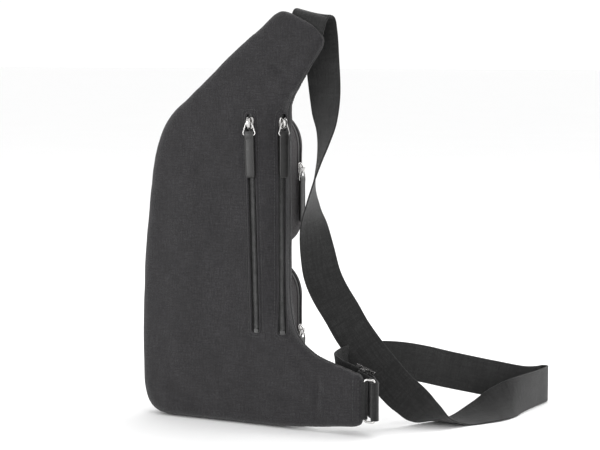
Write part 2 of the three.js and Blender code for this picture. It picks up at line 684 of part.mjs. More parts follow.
function webbing(route) {
  const centres = route.map(([x, y, z]) => new THREE.Vector3(x, y, z));
  const points = centres.flatMap((centre, k) => {
    const before = centres[Math.max(k - 1, 0)];
    const after = centres[Math.min(k + 1, centres.length - 1)];
    const along = new THREE.Vector3().subVectors(after, before).normalize();
    const edge = new THREE.Vector3(...route[k][3]);
    edge.addScaledVector(along, -edge.dot(along)).normalize();
    const face = new THREE.Vector3().crossVectors(along, edge);
    return [[1, 1], [-1, 1], [-1, -1], [1, -1]].map(([e, f]) =>
      centre.clone()
        .addScaledVector(edge, e * webbingWidth / 2)
        .addScaledVector(face, f * webbingThickness / 2),
    );
  });
  const triangles = [];
  for (let k = 0; k + 1 < centres.length; k++) bandBetween(4 * k, 4 * (k + 1), 4, triangles);
  const last = points.length - 4;
  triangles.push([0, 1, 2], [0, 2, 3], [last, last + 2, last + 1], [last, last + 3, last + 2]);
  return closedSolid(points, orient(points, triangles));
}
addPiece("strap_webbing", webbing(strapRoute), finish.webbing(), strapGroup);

// ---------------------------------------------------------------- strap adjuster
// A frame over the strap with a bar on its other side that the strap's end is sewn round.
function adjuster() {
  const halfHeight = webbingWidth / 2 + 0.7;
  const halfLength = 9;
  const outer = 2.6; // the frame's bars over the strap
  const inner = -4.6; // the middle bar, inside the sewn end
  const bars = [-1, 1].map((side) =>
    box(side * halfLength - 1.2, side * halfLength + 1.2, outer - 1, outer + 1,
      -halfHeight - 1, halfHeight + 1),
  );
  const ends = [-1, 1].map((side) => {
    const from = side > 0 ? halfHeight : -halfHeight - 2;
    return join(
      box(-halfLength - 1.2, halfLength + 1.2, outer - 1, outer + 1, from, from + 2),
      box(-2.6, 2.6, inner - 1, outer + 0.5, from, from + 2),
    );
  });
  const bar = box(-0.9, 0.9, inner - 0.9, inner + 0.9, -halfHeight - 0.5, halfHeight + 0.5);
  return join(...bars, ...ends, bar);
}
const adjusterMiddle = new THREE.Vector3(239, 22, 44.5); // on the strap's route
const adjusterSlope = Math.atan(0.4); // of the strap there
const adjusterPlace = new THREE.Matrix4()
  .makeRotationY(adjusterSlope)
  .setPosition(adjusterMiddle);
addPiece("strap_adjuster", adjuster().applyMatrix4(adjusterPlace), finish.metal(), strapGroup);

// ---------------------------------------------------------------- origin
// Under the middle of the bag without its strap, on the floor.
const extent = new THREE.Box3().setFromObject(bag);
const centre = extent.getCenter(new THREE.Vector3());
group.position.set(-centre.x, -centre.y, -extent.min.z);
group.updateMatrixWorld(true);

export default group;
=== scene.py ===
"""A canvas sling bag with two long side zips, two front pockets and one webbing strap.

The bag is built in millimetres from its left edge, back plane and floor.
"""
import math

import bmesh
import bpy
import numpy as np
from mathutils import Matrix, Vector, noise
from mathutils.bvhtree import BVHTree
from mathutils.kdtree import KDTree


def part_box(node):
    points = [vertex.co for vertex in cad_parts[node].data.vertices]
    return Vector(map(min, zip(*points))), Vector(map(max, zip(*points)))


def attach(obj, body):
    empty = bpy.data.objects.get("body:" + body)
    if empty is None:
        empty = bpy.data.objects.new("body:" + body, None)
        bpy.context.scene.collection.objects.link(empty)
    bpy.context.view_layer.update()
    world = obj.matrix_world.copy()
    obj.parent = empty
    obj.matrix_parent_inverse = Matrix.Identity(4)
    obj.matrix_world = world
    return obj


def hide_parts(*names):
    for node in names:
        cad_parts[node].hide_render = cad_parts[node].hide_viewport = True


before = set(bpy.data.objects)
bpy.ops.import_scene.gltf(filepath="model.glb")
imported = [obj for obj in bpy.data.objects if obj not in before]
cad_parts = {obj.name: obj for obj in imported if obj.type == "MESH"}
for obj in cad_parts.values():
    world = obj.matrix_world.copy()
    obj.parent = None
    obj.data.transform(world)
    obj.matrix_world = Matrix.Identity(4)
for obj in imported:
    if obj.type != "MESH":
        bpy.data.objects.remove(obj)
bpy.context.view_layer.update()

MM = 0.001
BACK_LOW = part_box("back_shell")[0]
ORIGIN = Vector((BACK_LOW.x, BACK_LOW.y, 0))


def place(point):
    """A point in millimetres on the bag, in metres in the frame's own coordinates."""
    return ORIGIN + Vector(point) * MM


def local_points(mesh):
    """The mesh's points in millimetres, as place() takes them."""
    return (coordinates(mesh) - np.array(ORIGIN)) / MM


# ---------------------------------------------------------------- camera and light
CAMERA_PLACE = (951.8, -1502.2, 375.8)
CAMERA_HEADING = math.radians(27)  # to the right of the back panel's normal
CAMERA_PITCH = math.radians(-5.774)
CAMERA_LENS = 103.84
SENSOR_WIDTH = 36


def add_camera():
    data = bpy.data.cameras.new("camera")
    data.lens = CAMERA_LENS
    data.sensor_width = SENSOR_WIDTH
    camera = bpy.data.objects.new("camera", data)
    bpy.context.scene.collection.objects.link(camera)
    camera.location = place(CAMERA_PLACE)
    look = Vector((
        -math.sin(CAMERA_HEADING) * math.cos(CAMERA_PITCH),
        math.cos(CAMERA_HEADING) * math.cos(CAMERA_PITCH),
        math.sin(CAMERA_PITCH),
    ))
    camera.rotation_euler = look.to_track_quat("-Z", "Y").to_euler()
    bpy.context.scene.camera = camera
    bpy.context.scene.view_settings.view_transform = "Standard"


def add_area_light(name, location, target, size, power):
    data = bpy.data.lights.new(name, "AREA")
    data.shape = "RECTANGLE"
    data.size, data.size_y = size
    data.energy = power
    light = bpy.data.objects.new(name, data)
    bpy.context.scene.collection.objects.link(light)
    light.location = location
    toward = Vector(target) - Vector(location)
    light.rotation_euler = toward.to_track_quat("-Z", "Y").to_euler()


def add_world(strength):
    world = bpy.data.worlds.new("studio")
    world.use_nodes = True
    background = world.node_tree.nodes["Background"]
    background.inputs["Color"].default_value = (1, 1, 1, 1)
    background.inputs["Strength"].default_value = strength
    bpy.context.scene.world = world


# ---------------------------------------------------------------- material nodes
class Shader:
    """A material being built: each call adds a node and gives its first output."""

    def __init__(self, name, **settings):
        self.material = bpy.data.materials.new(name)
        self.material.use_nodes = True
        self.tree = self.material.node_tree
        self.surface = self.tree.nodes["Principled BSDF"]
        for socket, value in settings.items():
            self.surface.inputs[socket.replace("_", " ")].default_value = value

    def add(self, kind, *inputs, output=0, **settings):
        made = self.tree.nodes.new("ShaderNode" + kind)
        for key, value in settings.items():
            setattr(made, key, value)
        for index, value in enumerate(inputs):
            self.feed(made.inputs[index], value)
        return made.outputs[output]

    def feed(self, socket, value):
        if isinstance(value, bpy.types.NodeSocket):
            self.tree.links.new(value, socket)
        elif value is not None:
            socket.default_value = value

    def math(self, operation, *inputs):
        return self.add("Math", *inputs, operation=operation)

    def attribute(self, name):
        made = self.tree.nodes.new("ShaderNodeAttribute")
        made.attribute_name = name
        return made.outputs["Vector"]

    def noise(self, vector, scale, detail=3.0, roughness=0.55):
        made = self.tree.nodes.new("ShaderNodeTexNoise")
        self.feed(made.inputs["Vector"], vector)
        made.inputs["Scale"].default_value = scale
        made.inputs["Detail"].default_value = detail
        made.inputs["Roughness"].default_value = roughness
        return made.outputs["Fac"]

    def between(self, value, low, high, to_low, to_high):
        made = self.tree.nodes.new("ShaderNodeMapRange")
        for socket, number in zip(made.inputs, (value, low, high, to_low, to_high)):
            self.feed(socket, number)
        return made.outputs[0]

    def mix(self, factor, a, b):
        made = self.tree.nodes.new("ShaderNodeMix")
        made.data_type = "RGBA"
        self.feed(made.inputs["Factor"], factor)
        self.feed(made.inputs["A"], a)
        self.feed(made.inputs["B"], b)
        return made.outputs["Result"]

    def bump(self, height, distance, strength=1.0, normal=None):
        made = self.tree.nodes.new("ShaderNodeBump")
        made.inputs["Strength"].default_value = strength
        made.inputs["Distance"].default_value = distance
        self.feed(made.inputs["Height"], height)
        self.feed(made.inputs["Normal"], normal)
        return made.outputs["Normal"]

    def finish(self, **sockets):
        for socket, value in sockets.items():
            self.feed(self.surface.inputs[socket.replace("_", " ")], value)
        return self.material


def grey(value, warmth=0.0):
    """A linear colour, a little to the warm or the cool side."""
    return (value * (1 + warmth), value, value * (1 - warmth), 1)


def charcoal(value, red=1.05):
    """The grey of the black canvas, which has a trace of purple."""
    return (value * red, value, value * 1.08, 1)


def scaled(colour, share):
    return (*(part * share for part in colour[:3]), 1)


def plain_weave(shader, along, across, pitch):
    """Height of a plain weave: threads cross over and under each other each pitch."""
    a = shader.math("DIVIDE", along, pitch)
    b = shader.math("DIVIDE", across, pitch)
    wave_a = shader.math("ABSOLUTE", shader.math("SINE", shader.math("MULTIPLY", a, math.pi)))
    wave_b = shader.math("ABSOLUTE", shader.math("SINE", shader.math("MULTIPLY", b, math.pi)))
    cell = shader.math("ADD", shader.math("FLOOR", a), shader.math("FLOOR", b))
    over = shader.math("FLOORED_MODULO", cell, 2.0)
    warp = shader.math("MULTIPLY", shader.math("POWER", wave_a, 0.6),
                       shader.between(wave_b, 0.0, 1.0, 0.35, 1.0))
    weft = shader.math("MULTIPLY", shader.math("POWER", wave_b, 0.6),
                       shader.between(wave_a, 0.0, 1.0, 0.35, 1.0))
    picked = shader.math("MULTIPLY", over, warp)
    other = shader.math("MULTIPLY", shader.math("SUBTRACT", 1.0, over), weft)
    return shader.math("ADD", picked, other)


def cloth_coordinates(shader):
    """Where a point is on the cloth before it was sewn, in metres, and its two parts."""
    place_on_cloth = shader.attribute("weave")
    split = shader.add("SeparateXYZ", place_on_cloth).node
    return place_on_cloth, split.outputs[0], split.outputs[1]


def woven(name, dark, light, pitch, depth, lint=0.25, rough=0.85):
    """Cloth of one yarn colour: weave with painted shade in the gaps between threads, slubs along
    both threads, soft mottle and lint.
    """
    shader = Shader(name, Sheen_Weight=0.2, Sheen_Roughness=0.45, Specular_IOR_Level=0.22)
    place_on_cloth, along, across = cloth_coordinates(shader)
    height = plain_weave(shader, along, across, pitch)
    stretched = []
    for stretch in ((0.1, 1.0, 1.0), (1.0, 0.1, 1.0)):
        turned = shader.add("VectorMath", place_on_cloth, stretch, operation="MULTIPLY")
        stretched.append(shader.noise(turned, 0.5 / pitch, 2.0))
    slubs = shader.math("MULTIPLY", stretched[0], stretched[1])
    mottle = shader.noise(place_on_cloth, 26.0, 5.0, 0.62)
    grain = shader.noise(place_on_cloth, 620.0, 2.0, 0.6)
    fine = shader.noise(place_on_cloth, 420.0, 3.0, 0.7)
    # Painted shade: threads are lighter on their crests and darker in the gaps between them.
    tone = shader.mix(shader.between(height, 0.1, 1.0, 0.0, 1.0), dark, light)
    tone = shader.mix(shader.between(slubs, 0.17, 0.34, 0.0, 0.8), tone, scaled(light, 1.35))
    tone = shader.mix(shader.between(grain, 0.38, 0.62, 0.0, 0.55), tone, scaled(dark, 0.75))
    tone = shader.mix(shader.between(mottle, 0.36, 0.66, 0.0, 0.4), tone, scaled(dark, 1.1))
    specks = shader.between(fine, 0.68, 0.78, 0.0, lint)
    tone = shader.mix(specks, tone, scaled(light, 2.6))
    relief = shader.math("ADD", height, shader.math("MULTIPLY", slubs, 1.2))
    normal = shader.bump(relief, depth, 0.9)
    normal = shader.bump(mottle, 0.0012, 0.35, normal)
    roughness = shader.between(height, 0.0, 1.0, rough + 0.1, rough)
    return shader.finish(Base_Color=tone, Roughness=roughness, Normal=normal)


def leather(name, dark, light):
    """Smooth finished leather: fine pebbled grain, pores, and paler edges that are painted
    highlights.
    """
    shader = Shader(name, Specular_IOR_Level=0.4, Coat_Weight=0.15, Coat_Roughness=0.3)
    coords = shader.add("TexCoord", output="Object")
    cells = shader.tree.nodes.new("ShaderNodeTexVoronoi")
    cells.feature = "DISTANCE_TO_EDGE"
    shader.feed(cells.inputs["Vector"], coords)
    cells.inputs["Scale"].default_value = 1500.0
    grain = shader.between(cells.outputs["Distance"], 0.0, 0.25, 0.0, 1.0)
    pores = shader.noise(coords, 2600.0, 2.0)
    cloud = shader.noise(coords, 260.0, 3.0)
    # Painted highlight: the tab's sharp edges are paled as if they catch the light.
    edge_highlight = shader.between(shader.add("NewGeometry", output="Pointiness"), 0.51, 0.57, 0.0, 0.75)
    tone = shader.mix(shader.between(cloud, 0.35, 0.7, 0.0, 1.0), dark, light)
    tone = shader.mix(edge_highlight, tone, scaled(light, 6))
    relief = shader.math("ADD", grain, shader.math("MULTIPLY", pores, 0.5))
    roughness = shader.between(cloud, 0.3, 0.7, 0.36, 0.55)
    return shader.finish(
        Base_Color=tone, Roughness=roughness, Normal=shader.bump(relief, 0.00006, 0.5))


def plated(name, tone, rough):
    """Nickel plate with faint polishing lines and dulled patches."""
    shader = Shader(name, Metallic=1.0)
    coords = shader.add("TexCoord", output="Object")
    streaks = shader.add("VectorMath", coords, (1.0, 1.0, 0.08), operation="MULTIPLY")
    lines = shader.noise(streaks, 2400.0, 2.0)
    patches = shader.noise(coords, 240.0, 3.0)
    dulled = grey(tone[1] * 0.72, 0.02)
    colour = shader.mix(shader.between(patches, 0.35, 0.7, 0.0, 0.6), tone, dulled)
    roughness = shader.between(shader.math("ADD", lines, patches), 0.6, 1.4, rough, rough + 0.16)
    return shader.finish(
        Base_Color=colour, Roughness=roughness, Normal=shader.bump(lines, 0.00002, 0.25))


def moulded(name, dark, light, rough):
    """Nylon zip teeth and thread: a slight gloss with drawn-filament streaks."""
    shader = Shader(name, Specular_IOR_Level=0.5)
    coords = shader.add("TexCoord", output="Object")
    streaks = shader.noise(coords, 3200.0, 2.0)
    cloud = shader.noise(coords, 160.0, 2.0)
    tone = shader.mix(shader.between(cloud, 0.3, 0.7, 0.0, 1.0), dark, light)
    roughness = shader.between(streaks, 0.3, 0.7, rough, rough + 0.15)
    return shader.finish(
        Base_Color=tone, Roughness=roughness, Normal=shader.bump(streaks, 0.00004, 0.4))


def pale_floor(name):
    shader = Shader(name, Specular_IOR_Level=0.15)
    coords = shader.add("TexCoord", output="Object")
    cloud = shader.noise(coords, 3.0, 2.0)
    tone = shader.mix(cloud, (0.93, 0.93, 0.93, 1), (0.95, 0.95, 0.95, 1))
    return shader.finish(Base_Color=tone, Roughness=shader.between(cloud, 0.0, 1.0, 0.8, 0.9))


# ---------------------------------------------------------------- curves and meshes
def smooth_line(points, samples, closed=False):
    """A centripetal curve through rows of numbers, with as many samples to each row."""
    rows = np.array(points, float)
    count = len(rows)
    if closed:
        padded = np.vstack([rows[-1], rows, rows[0], rows[1]])
        spans = count
    else:
        padded = np.vstack([2 * rows[0] - rows[1], rows, 2 * rows[-1] - rows[-2]])
        spans = count - 1
    made = []
    for k in range(spans):
        p0, p1, p2, p3 = padded[k:k + 4]
        knots = [0.0]
        for a, b in ((p0, p1), (p1, p2), (p2, p3)):
            knots.append(knots[-1] + max(np.linalg.norm(b - a), 1e-9) ** 0.5)
        t0, t1, t2, t3 = knots
        for t in np.linspace(t1, t2, samples, endpoint=False):
            a1 = (t1 - t) / (t1 - t0) * p0 + (t - t0) / (t1 - t0) * p1
            a2 = (t2 - t) / (t2 - t1) * p1 + (t - t1) / (t2 - t1) * p2
            a3 = (t3 - t) / (t3 - t2) * p2 + (t - t2) / (t3 - t2) * p3
            b1 = (t2 - t) / (t2 - t0) * a1 + (t - t0) / (t2 - t0) * a2
            b2 = (t3 - t) / (t3 - t1) * a2 + (t - t1) / (t3 - t1) * a3
            made.append((t2 - t) / (t2 - t1) * b1 + (t - t1) / (t2 - t1) * b2)
    if not closed:
        made.append(rows[-1])
    return np.array(made)


def reached(rows):
    """How far along the line each of its points is."""
    steps = np.linalg.norm(np.diff(rows, axis=0), axis=1)
    return np.concatenate([[0], np.cumsum(steps)])


def evenly(points, spacing, closed=False):
    """The same line with points at one spacing, or as near to it as its length allows."""
    rows = np.array(points, float)
    if closed:
        rows = np.vstack([rows, rows[0]])
    along = reached(rows[:, :3])
    count = max(2, round(along[-1] / spacing) + 1)
    made = at_distances(rows, along, np.linspace(0, along[-1], count))
    return made[:-1] if closed else made


def at_distances(rows, along, wanted):
    """The rows that a line has at the wanted distances along it."""
    return np.stack([np.interp(wanted, along, column) for column in rows.T], axis=1)


def add_mesh(name, points, faces, material, smooth=True, weave=None):
    """A mesh object from points in metres, with its place on the cloth if it is woven."""
    mesh = bpy.data.meshes.new(name)
    mesh.from_pydata([tuple(p) for p in points], [], faces)
    mesh.validate()
    tidy = bmesh.new()
    tidy.from_mesh(mesh)
    bmesh.ops.recalc_face_normals(tidy, faces=tidy.faces)
    tidy.to_mesh(mesh)
    tidy.free()
    mesh.materials.append(material)
    if smooth:
        mesh.shade_smooth()
    else:
        mesh.shade_flat()
    if weave is not None:
        set_weave(mesh, weave)
    made = bpy.data.objects.new(name, mesh)
    bpy.context.scene.collection.objects.link(made)
    return made


def set_weave(mesh, places):
    attribute = mesh.attributes.get("weave")
    if attribute is None:
        attribute = mesh.attributes.new("weave", "FLOAT_VECTOR", "POINT")
    rows = np.zeros((len(mesh.vertices), 3), np.float32)
    rows[:, :2] = places
    attribute.data.foreach_set("vector", rows.ravel())


def coordinates(mesh):
    rows = np.empty(len(mesh.vertices) * 3)
    mesh.vertices.foreach_get("co", rows)
    return rows.reshape(-1, 3)


def settle(obj, body, slot, *nodes):
    """The finished piece stands for CAD nodes and rides on a body; slot is not used."""
    if nodes:
        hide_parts(*nodes)
    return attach(obj, body)


def tube_faces(rows, columns, closed=False):
    """The faces of rings of points: a closed loop of rings, or an open one with capped ends."""
    faces = []
    for r in range(rows if closed else rows - 1):
        for c in range(columns):
            low, high = r * columns, (r + 1) % rows * columns
            after = (c + 1) % columns
            faces.append((low + c, low + after, high + after, high + c))
    if not closed:
        faces.append(tuple(range(columns)))
        faces.append(tuple(reversed(range((rows - 1) * columns, rows * columns))))
    return faces


def sweep(name, centres, firsts, seconds, profile, material, closed=False):
    """A tube whose cross-section is profile, in each point's own two directions."""
    centres, firsts, seconds = (np.array(rows, float) for rows in (centres, firsts, seconds))
    shape = np.array(profile, float)
    points = (
        centres[:, None]
        + shape[None, :, :1] * firsts[:, None]
        + shape[None, :, 1:] * seconds[:, None]
    ).reshape(-1, 3)
    rows, columns = len(centres), len(shape)
    weave = np.stack([np.repeat(reached(centres), columns), np.tile(reached(shape), rows)], axis=1)
    return add_mesh(name, points, tube_faces(rows, columns, closed), material, weave=weave)


def directions(centres, closed=False):
    """The unit direction of travel at each point of a line."""
    rows = np.array(centres, float)
    if closed:
        travel = np.roll(rows, -1, axis=0) - np.roll(rows, 1, axis=0)
    else:
        travel = np.gradient(rows, axis=0)
    return travel / np.linalg.norm(travel, axis=1)[:, None]


def square_to(vectors, travel):
    """The vectors without their part along the direction of travel, at unit length."""
    vectors = np.broadcast_to(np.array(vectors, float), travel.shape)
    across = vectors - (vectors * travel).sum(axis=1)[:, None] * travel
    return across / np.linalg.norm(across, axis=1)[:, None]


def circle(radius, sides):
    turn = np.linspace(0, 2 * np.pi, sides, endpoint=False)
    return np.stack([radius * np.cos(turn), radius * np.sin(turn)], axis=1)


def oval(half_width, half_height, sides, lift=0.0):
    """An ellipse with its middle lifted in its second direction."""
    return circle(1.0, sides) * (half_width, half_height) + (0, lift)


def wire(name, centres, reference, radius, material, closed=False, sides=12):
    """A round wire along a line; reference is any direction that the line never takes."""
    travel = directions(centres, closed)
    first = square_to(reference, travel)
    second = np.cross(travel, first)
    return sweep(name, centres, first, second, circle(radius, sides), material, closed)


def rounded_corners(width, height, corner, steps=6):
    """Points round a rectangle about zero, from the right end of its top right corner on."""
    made = []
    for quarter, (sx, sy) in enumerate(((1, 1), (-1, 1), (-1, -1), (1, -1))):
        for k in range(steps + 1):
            angle = (quarter + k / steps) * math.pi / 2
            made.append((
                sx * (width / 2 - corner) + corner * math.cos(angle),
                sy * (height / 2 - corner) + corner * math.sin(angle),
            ))
    return np.array(made)


def add_capsules(name, centres, alongs, outwards, length, width, height, material):
    """Many small rounded bars as one mesh: stitches, or a zip's teeth."""
    sides = 8
    ends = ((-0.5, 0.35), (-0.36, 0.85), (0.0, 1.0), (0.36, 0.85), (0.5, 0.35))
    centres, alongs, outwards = (np.array(rows, float) for rows in (centres, alongs, outwards))
    across = np.cross(alongs, outwards)
    ring = circle(0.5, sides)
    points, faces = [], []
    for centre, along, side, outward in zip(centres, alongs, across, outwards):
        start = len(points)
        for share, size in ends:
            for u, v in ring:
                points.append(centre + along * share * length + side * u * width * size
                              + outward * v * height * size)
        faces += [tuple(start + i for i in face) for face in tube_faces(len(ends), sides)]
    return add_mesh(name, points, faces, material)


def stitch_row(name, line, outwards, material, pitch=3.4, length=2.7, thickness=0.55):
    """Thread over a line on the surface: a row of stitches half sunk in it. Millimetres."""
    rows = np.hstack([np.array(line, float), np.array(outwards, float)])
    rows = evenly(rows, pitch * MM)
    centres, normals = rows[:, :3], rows[:, 3:]
    travel = directions(centres)
    normals = square_to(normals, travel)
    sunk = centres + normals * 0.05 * thickness * MM
    return add_capsules(name, sunk, travel, normals, length * MM, thickness * MM,
                        0.8 * thickness * MM, material)


# ---------------------------------------------------------------- the bag's outline
WALL_GAP = 0.3
BODY_WIDTH = 162
SHOULDER = 314
NECK_TOP = 413
BODY_DEPTH = 40
THIN_DEPTH = 10
TAIL_END = 253
ROLL_RADIUS = 20
EDGE_RADIUS = 10
FRONT_RADIUS = 12
FRONT_SEAM = 26
FRONT_TAPER = 2.5  # how late the front rises over a thin end
SEAM_MIDDLE = THIN_DEPTH / 2
R, S, N, T = BODY_WIDTH, SHOULDER, NECK_TOP, TAIL_END
HALF = S / 2
# Outline x and z, where the front panel pulls in to, the back edge's radius, the seam's
# height over the back plane, and how far the front slopes down to a thin end.
OUTLINE = [
    (30, 0, 30, 0, EDGE_RADIUS, FRONT_SEAM, 0),
    (R / 2, 0, R / 2, 0, EDGE_RADIUS, FRONT_SEAM, 0),
    (R - 30, 0, R - 32, 0, EDGE_RADIUS, FRONT_SEAM - 5, 0.2),
    (R + 24, 3, R - 14, 3, 6, 9, 0.8),
    (T - 28, 7.5, R - 6, 8, 4, SEAM_MIDDLE, 1),
    (T - 3, 10.5, R - 2, 15, 4, SEAM_MIDDLE, 1),
    (T, 15, R, 22, 4, SEAM_MIDDLE, 1),
    (T, 57, R, 58, 4, SEAM_MIDDLE, 1),
    (T - 2, 61, R, 64, 4, SEAM_MIDDLE, 1),
    (T - 12, 64, R, 70, 4, SEAM_MIDDLE, 1),
    (T - 31, 70, R, 77, 4, SEAM_MIDDLE, 1),
    (R + 42, 76, R, 84, 5, 6, 1),
    (R + 26, 85, R, 92, 7, 9, 1),
    (R + 12, 98, R, 103, 12, 15, 0.7),
    (R + 3.5, 115, R, 117, 18, FRONT_SEAM - 3, 0.3),
    (R, 134, R, 134, ROLL_RADIUS, FRONT_SEAM, 0),
    (R, HALF + 43, R, HALF + 43, ROLL_RADIUS, FRONT_SEAM, 0),
    (R, S - 54, R, S - 58, ROLL_RADIUS, FRONT_SEAM, 0),
    (R, S - 12, R, S - 26, ROLL_RADIUS, FRONT_SEAM - 2, 0.1),
    (R + 4, S + 5, R, S - 17, 15, 17, 0.6),
    (R + 11, S + 15, R - 1, S - 10, 9, 12, 1),
    (R + 19, S + 25, R - 3, S - 5, 5, 7, 1),
    (R + 32, S + 44, R - 6, S, 4, SEAM_MIDDLE, 1),
    (R + 46, N - 35, R - 10, S + 4, 4, SEAM_MIDDLE, 1),
    (R + 48.5, N - 28, R - 14, S + 6, 4, SEAM_MIDDLE, 1),
    (R + 45, N - 20, R - 18, S + 7, 4, SEAM_MIDDLE, 1),
    (R + 12, N - 1, R - 28, S + 9, 4, SEAM_MIDDLE, 1),
    (R - 1, N, R - 34, S + 9, 4, SEAM_MIDDLE, 1),
    (R - 16, N - 12, R - 46, S + 9, 4, SEAM_MIDDLE, 1),
    (R - 42, N - 32, R - 66, S + 7, 4, 7, 1),
    (80, S + 34, 68, S + 4, 6, 12, 0.7),
    (56.6, S + 15, 50, S - 2, 8, 17, 0.4),
    (36.5, S - 2, 35, S - 11, EDGE_RADIUS, FRONT_SEAM - 2, 0.2),
    (26, S - 18, 26, S - 22, EDGE_RADIUS, FRONT_SEAM, 0),
    (17, S - 44, 17, S - 46, EDGE_RADIUS, FRONT_SEAM, 0),
    (10, S - 83, 10, S - 83, EDGE_RADIUS, FRONT_SEAM, 0),
    (4, HALF + 13, 4, HALF + 13, EDGE_RADIUS, FRONT_SEAM, 0),
    (0.5, 110, 0.5, 110, EDGE_RADIUS, FRONT_SEAM, 0),
    (0, 60, 0, 60, EDGE_RADIUS, FRONT_SEAM, 0),
    (2, 24, 2, 24, EDGE_RADIUS, FRONT_SEAM, 0),
    (11, 7, 11, 7, EDGE_RADIUS, FRONT_SEAM, 0),
]
OUTLINE_SAMPLES = 6


def outline_values():
    """The outline's columns on smooth closed curves: the whole bag, its main body, its slope."""
    rows = np.array(OUTLINE, float)
    full = smooth_line(rows[:, [0, 4, 1]], OUTLINE_SAMPLES, closed=True)
    main = smooth_line(rows[:, [2, 5, 3]], OUTLINE_SAMPLES, closed=True)
    slope = smooth_line(rows[:, [0, 6, 1]], OUTLINE_SAMPLES, closed=True)[:, 1]
    return full, main, slope.clip(0, 1)


FULL, MAIN, SLOPE = outline_values()


def rounded_inset(radius, from_face):
    """How far a rounded edge pulls in, at a distance from the face that it rounds to."""
    left = np.clip(radius - from_face, 0, radius)
    return radius - np.sqrt(np.maximum(radius ** 2 - left ** 2, 0))


def inset_ring(ring, distances):
    """The ring with each point moved in by its own distance."""
    ahead, behind = np.roll(ring, -1, axis=0), np.roll(ring, 1, axis=0)
    normal = np.stack([behind[:, 2] - ahead[:, 2], 0 * ring[:, 0], ahead[:, 0] - behind[:, 0]], 1)
    normal /= np.linalg.norm(normal, axis=1)[:, None]
    return ring + normal * distances[:, None]


def back_ring(share):
    """The back panel's ring, from the back plane at share 0 to the seam at share 1."""
    ring = np.stack([FULL[:, 0], share * MAIN[:, 1], FULL[:, 2].clip(0)], axis=1)
    return inset_ring(ring, rounded_inset(FULL[:, 1], ring[:, 1]))


def front_ring(share):
    """The front panel's ring, from the seam at share 0 to the front at share 1."""
    seam = MAIN[:, 1] + 3 * WALL_GAP
    rise = SEAM_MIDDLE * min(1, share / 0.03)
    sloped = seam + rise + (BODY_DEPTH - seam - rise) * share ** FRONT_TAPER
    upright = seam + (BODY_DEPTH - seam) * share
    y = upright + (sloped - upright) * SLOPE
    x = FULL[:, 0] + (MAIN[:, 0] - FULL[:, 0]) * share
    z = (FULL[:, 2] + (MAIN[:, 2] - FULL[:, 2]) * share).clip(0)
    strength = 1 + (min(1, share / 0.3) - 1) * SLOPE
    inset = strength * rounded_inset(FRONT_RADIUS, BODY_DEPTH - y)
    return inset_ring(np.stack([x, y, z], axis=1), inset)


# ---------------------------------------------------------------- soft bodies
def closed_loft(rings):
    """Rings of points in millimetres as one closed surface with flat caps."""
    points = [place(p) for ring in rings for p in ring]
    return points, tube_faces(len(rings), len(rings[0]))


def apply_modifier(obj, kind, **settings):
    modifier = obj.modifiers.new(kind.lower(), kind)
    for key, value in settings.items():
        setattr(modifier, key, value)
    bake(obj)


def bake(obj):
    """The mesh as its modifiers leave it, and the modifiers gone."""
    graph = bpy.context.evaluated_depsgraph_get()
    made = bpy.data.meshes.new_from_object(obj.evaluated_get(graph))
    obj.modifiers.clear()
    obj.data = made


CLOTH_PRESSURE = 4.0
CLOTH_FRAMES = 20
GRIPS = 10  # steps between cloth that swells freely and cloth that is held


def swell(obj, limits):
    """Cloth filled from inside; no point moves further than its own limit, in metres."""
    rest = coordinates(obj.data)
    held = obj.vertex_groups.new(name="held")
    grip = np.round((1 - limits / limits.max()) * GRIPS).astype(int)
    for share in range(GRIPS + 1):
        held.add(np.flatnonzero(grip == share).tolist(), share / GRIPS, "REPLACE")
    cloth = obj.modifiers.new("cloth", "CLOTH")
    cloth.settings.quality = 6
    cloth.settings.mass = 0.25
    cloth.settings.tension_stiffness = 18
    cloth.settings.compression_stiffness = 18
    cloth.settings.bending_stiffness = 1.2
    cloth.settings.use_pressure = True
    cloth.settings.uniform_pressure_force = CLOTH_PRESSURE
    cloth.settings.vertex_group_mass = "held"
    cloth.settings.effector_weights.gravity = 0
    cloth.collision_settings.use_collision = False
    scene = bpy.context.scene
    for number in range(1, CLOTH_FRAMES + 1):
        scene.frame_set(number)
    graph = bpy.context.evaluated_depsgraph_get()
    moved = coordinates(obj.evaluated_get(graph).data) - rest
    obj.modifiers.clear()
    scene.frame_set(1)
    distance = np.linalg.norm(moved, axis=1)
    kept = np.minimum(1, limits / np.maximum(distance, 1e-9))
    obj.data.vertices.foreach_set("co", (rest + moved * kept[:, None]).ravel())
    obj.data.update()


VOXEL = 3.2


def soft_body(name, rings, material, limits_at):
    """A closed cloth form: lofted, remeshed evenly, swelled, smoothed and subdivided."""
    points, faces = closed_loft(rings)
    obj = add_mesh(name, points, faces, material)
    apply_modifier(obj, "REMESH", mode="VOXEL", voxel_size=VOXEL * MM, adaptivity=0.0)
    apply_modifier(obj, "SMOOTH", factor=0.5, iterations=3)
    swell(obj, limits_at(local_points(obj.data)) * MM)
    apply_modifier(obj, "SMOOTH", factor=0.4, iterations=2)
    apply_modifier(obj, "SUBSURF", levels=1, render_levels=1)
    return obj


def carve(obj, cutter):
    """The cutter's shape is taken out of the piece, and the cutter goes."""
    apply_modifier(obj, "BOOLEAN", operation="DIFFERENCE", object=cutter, solver="EXACT")
    bpy.data.objects.remove(cutter)


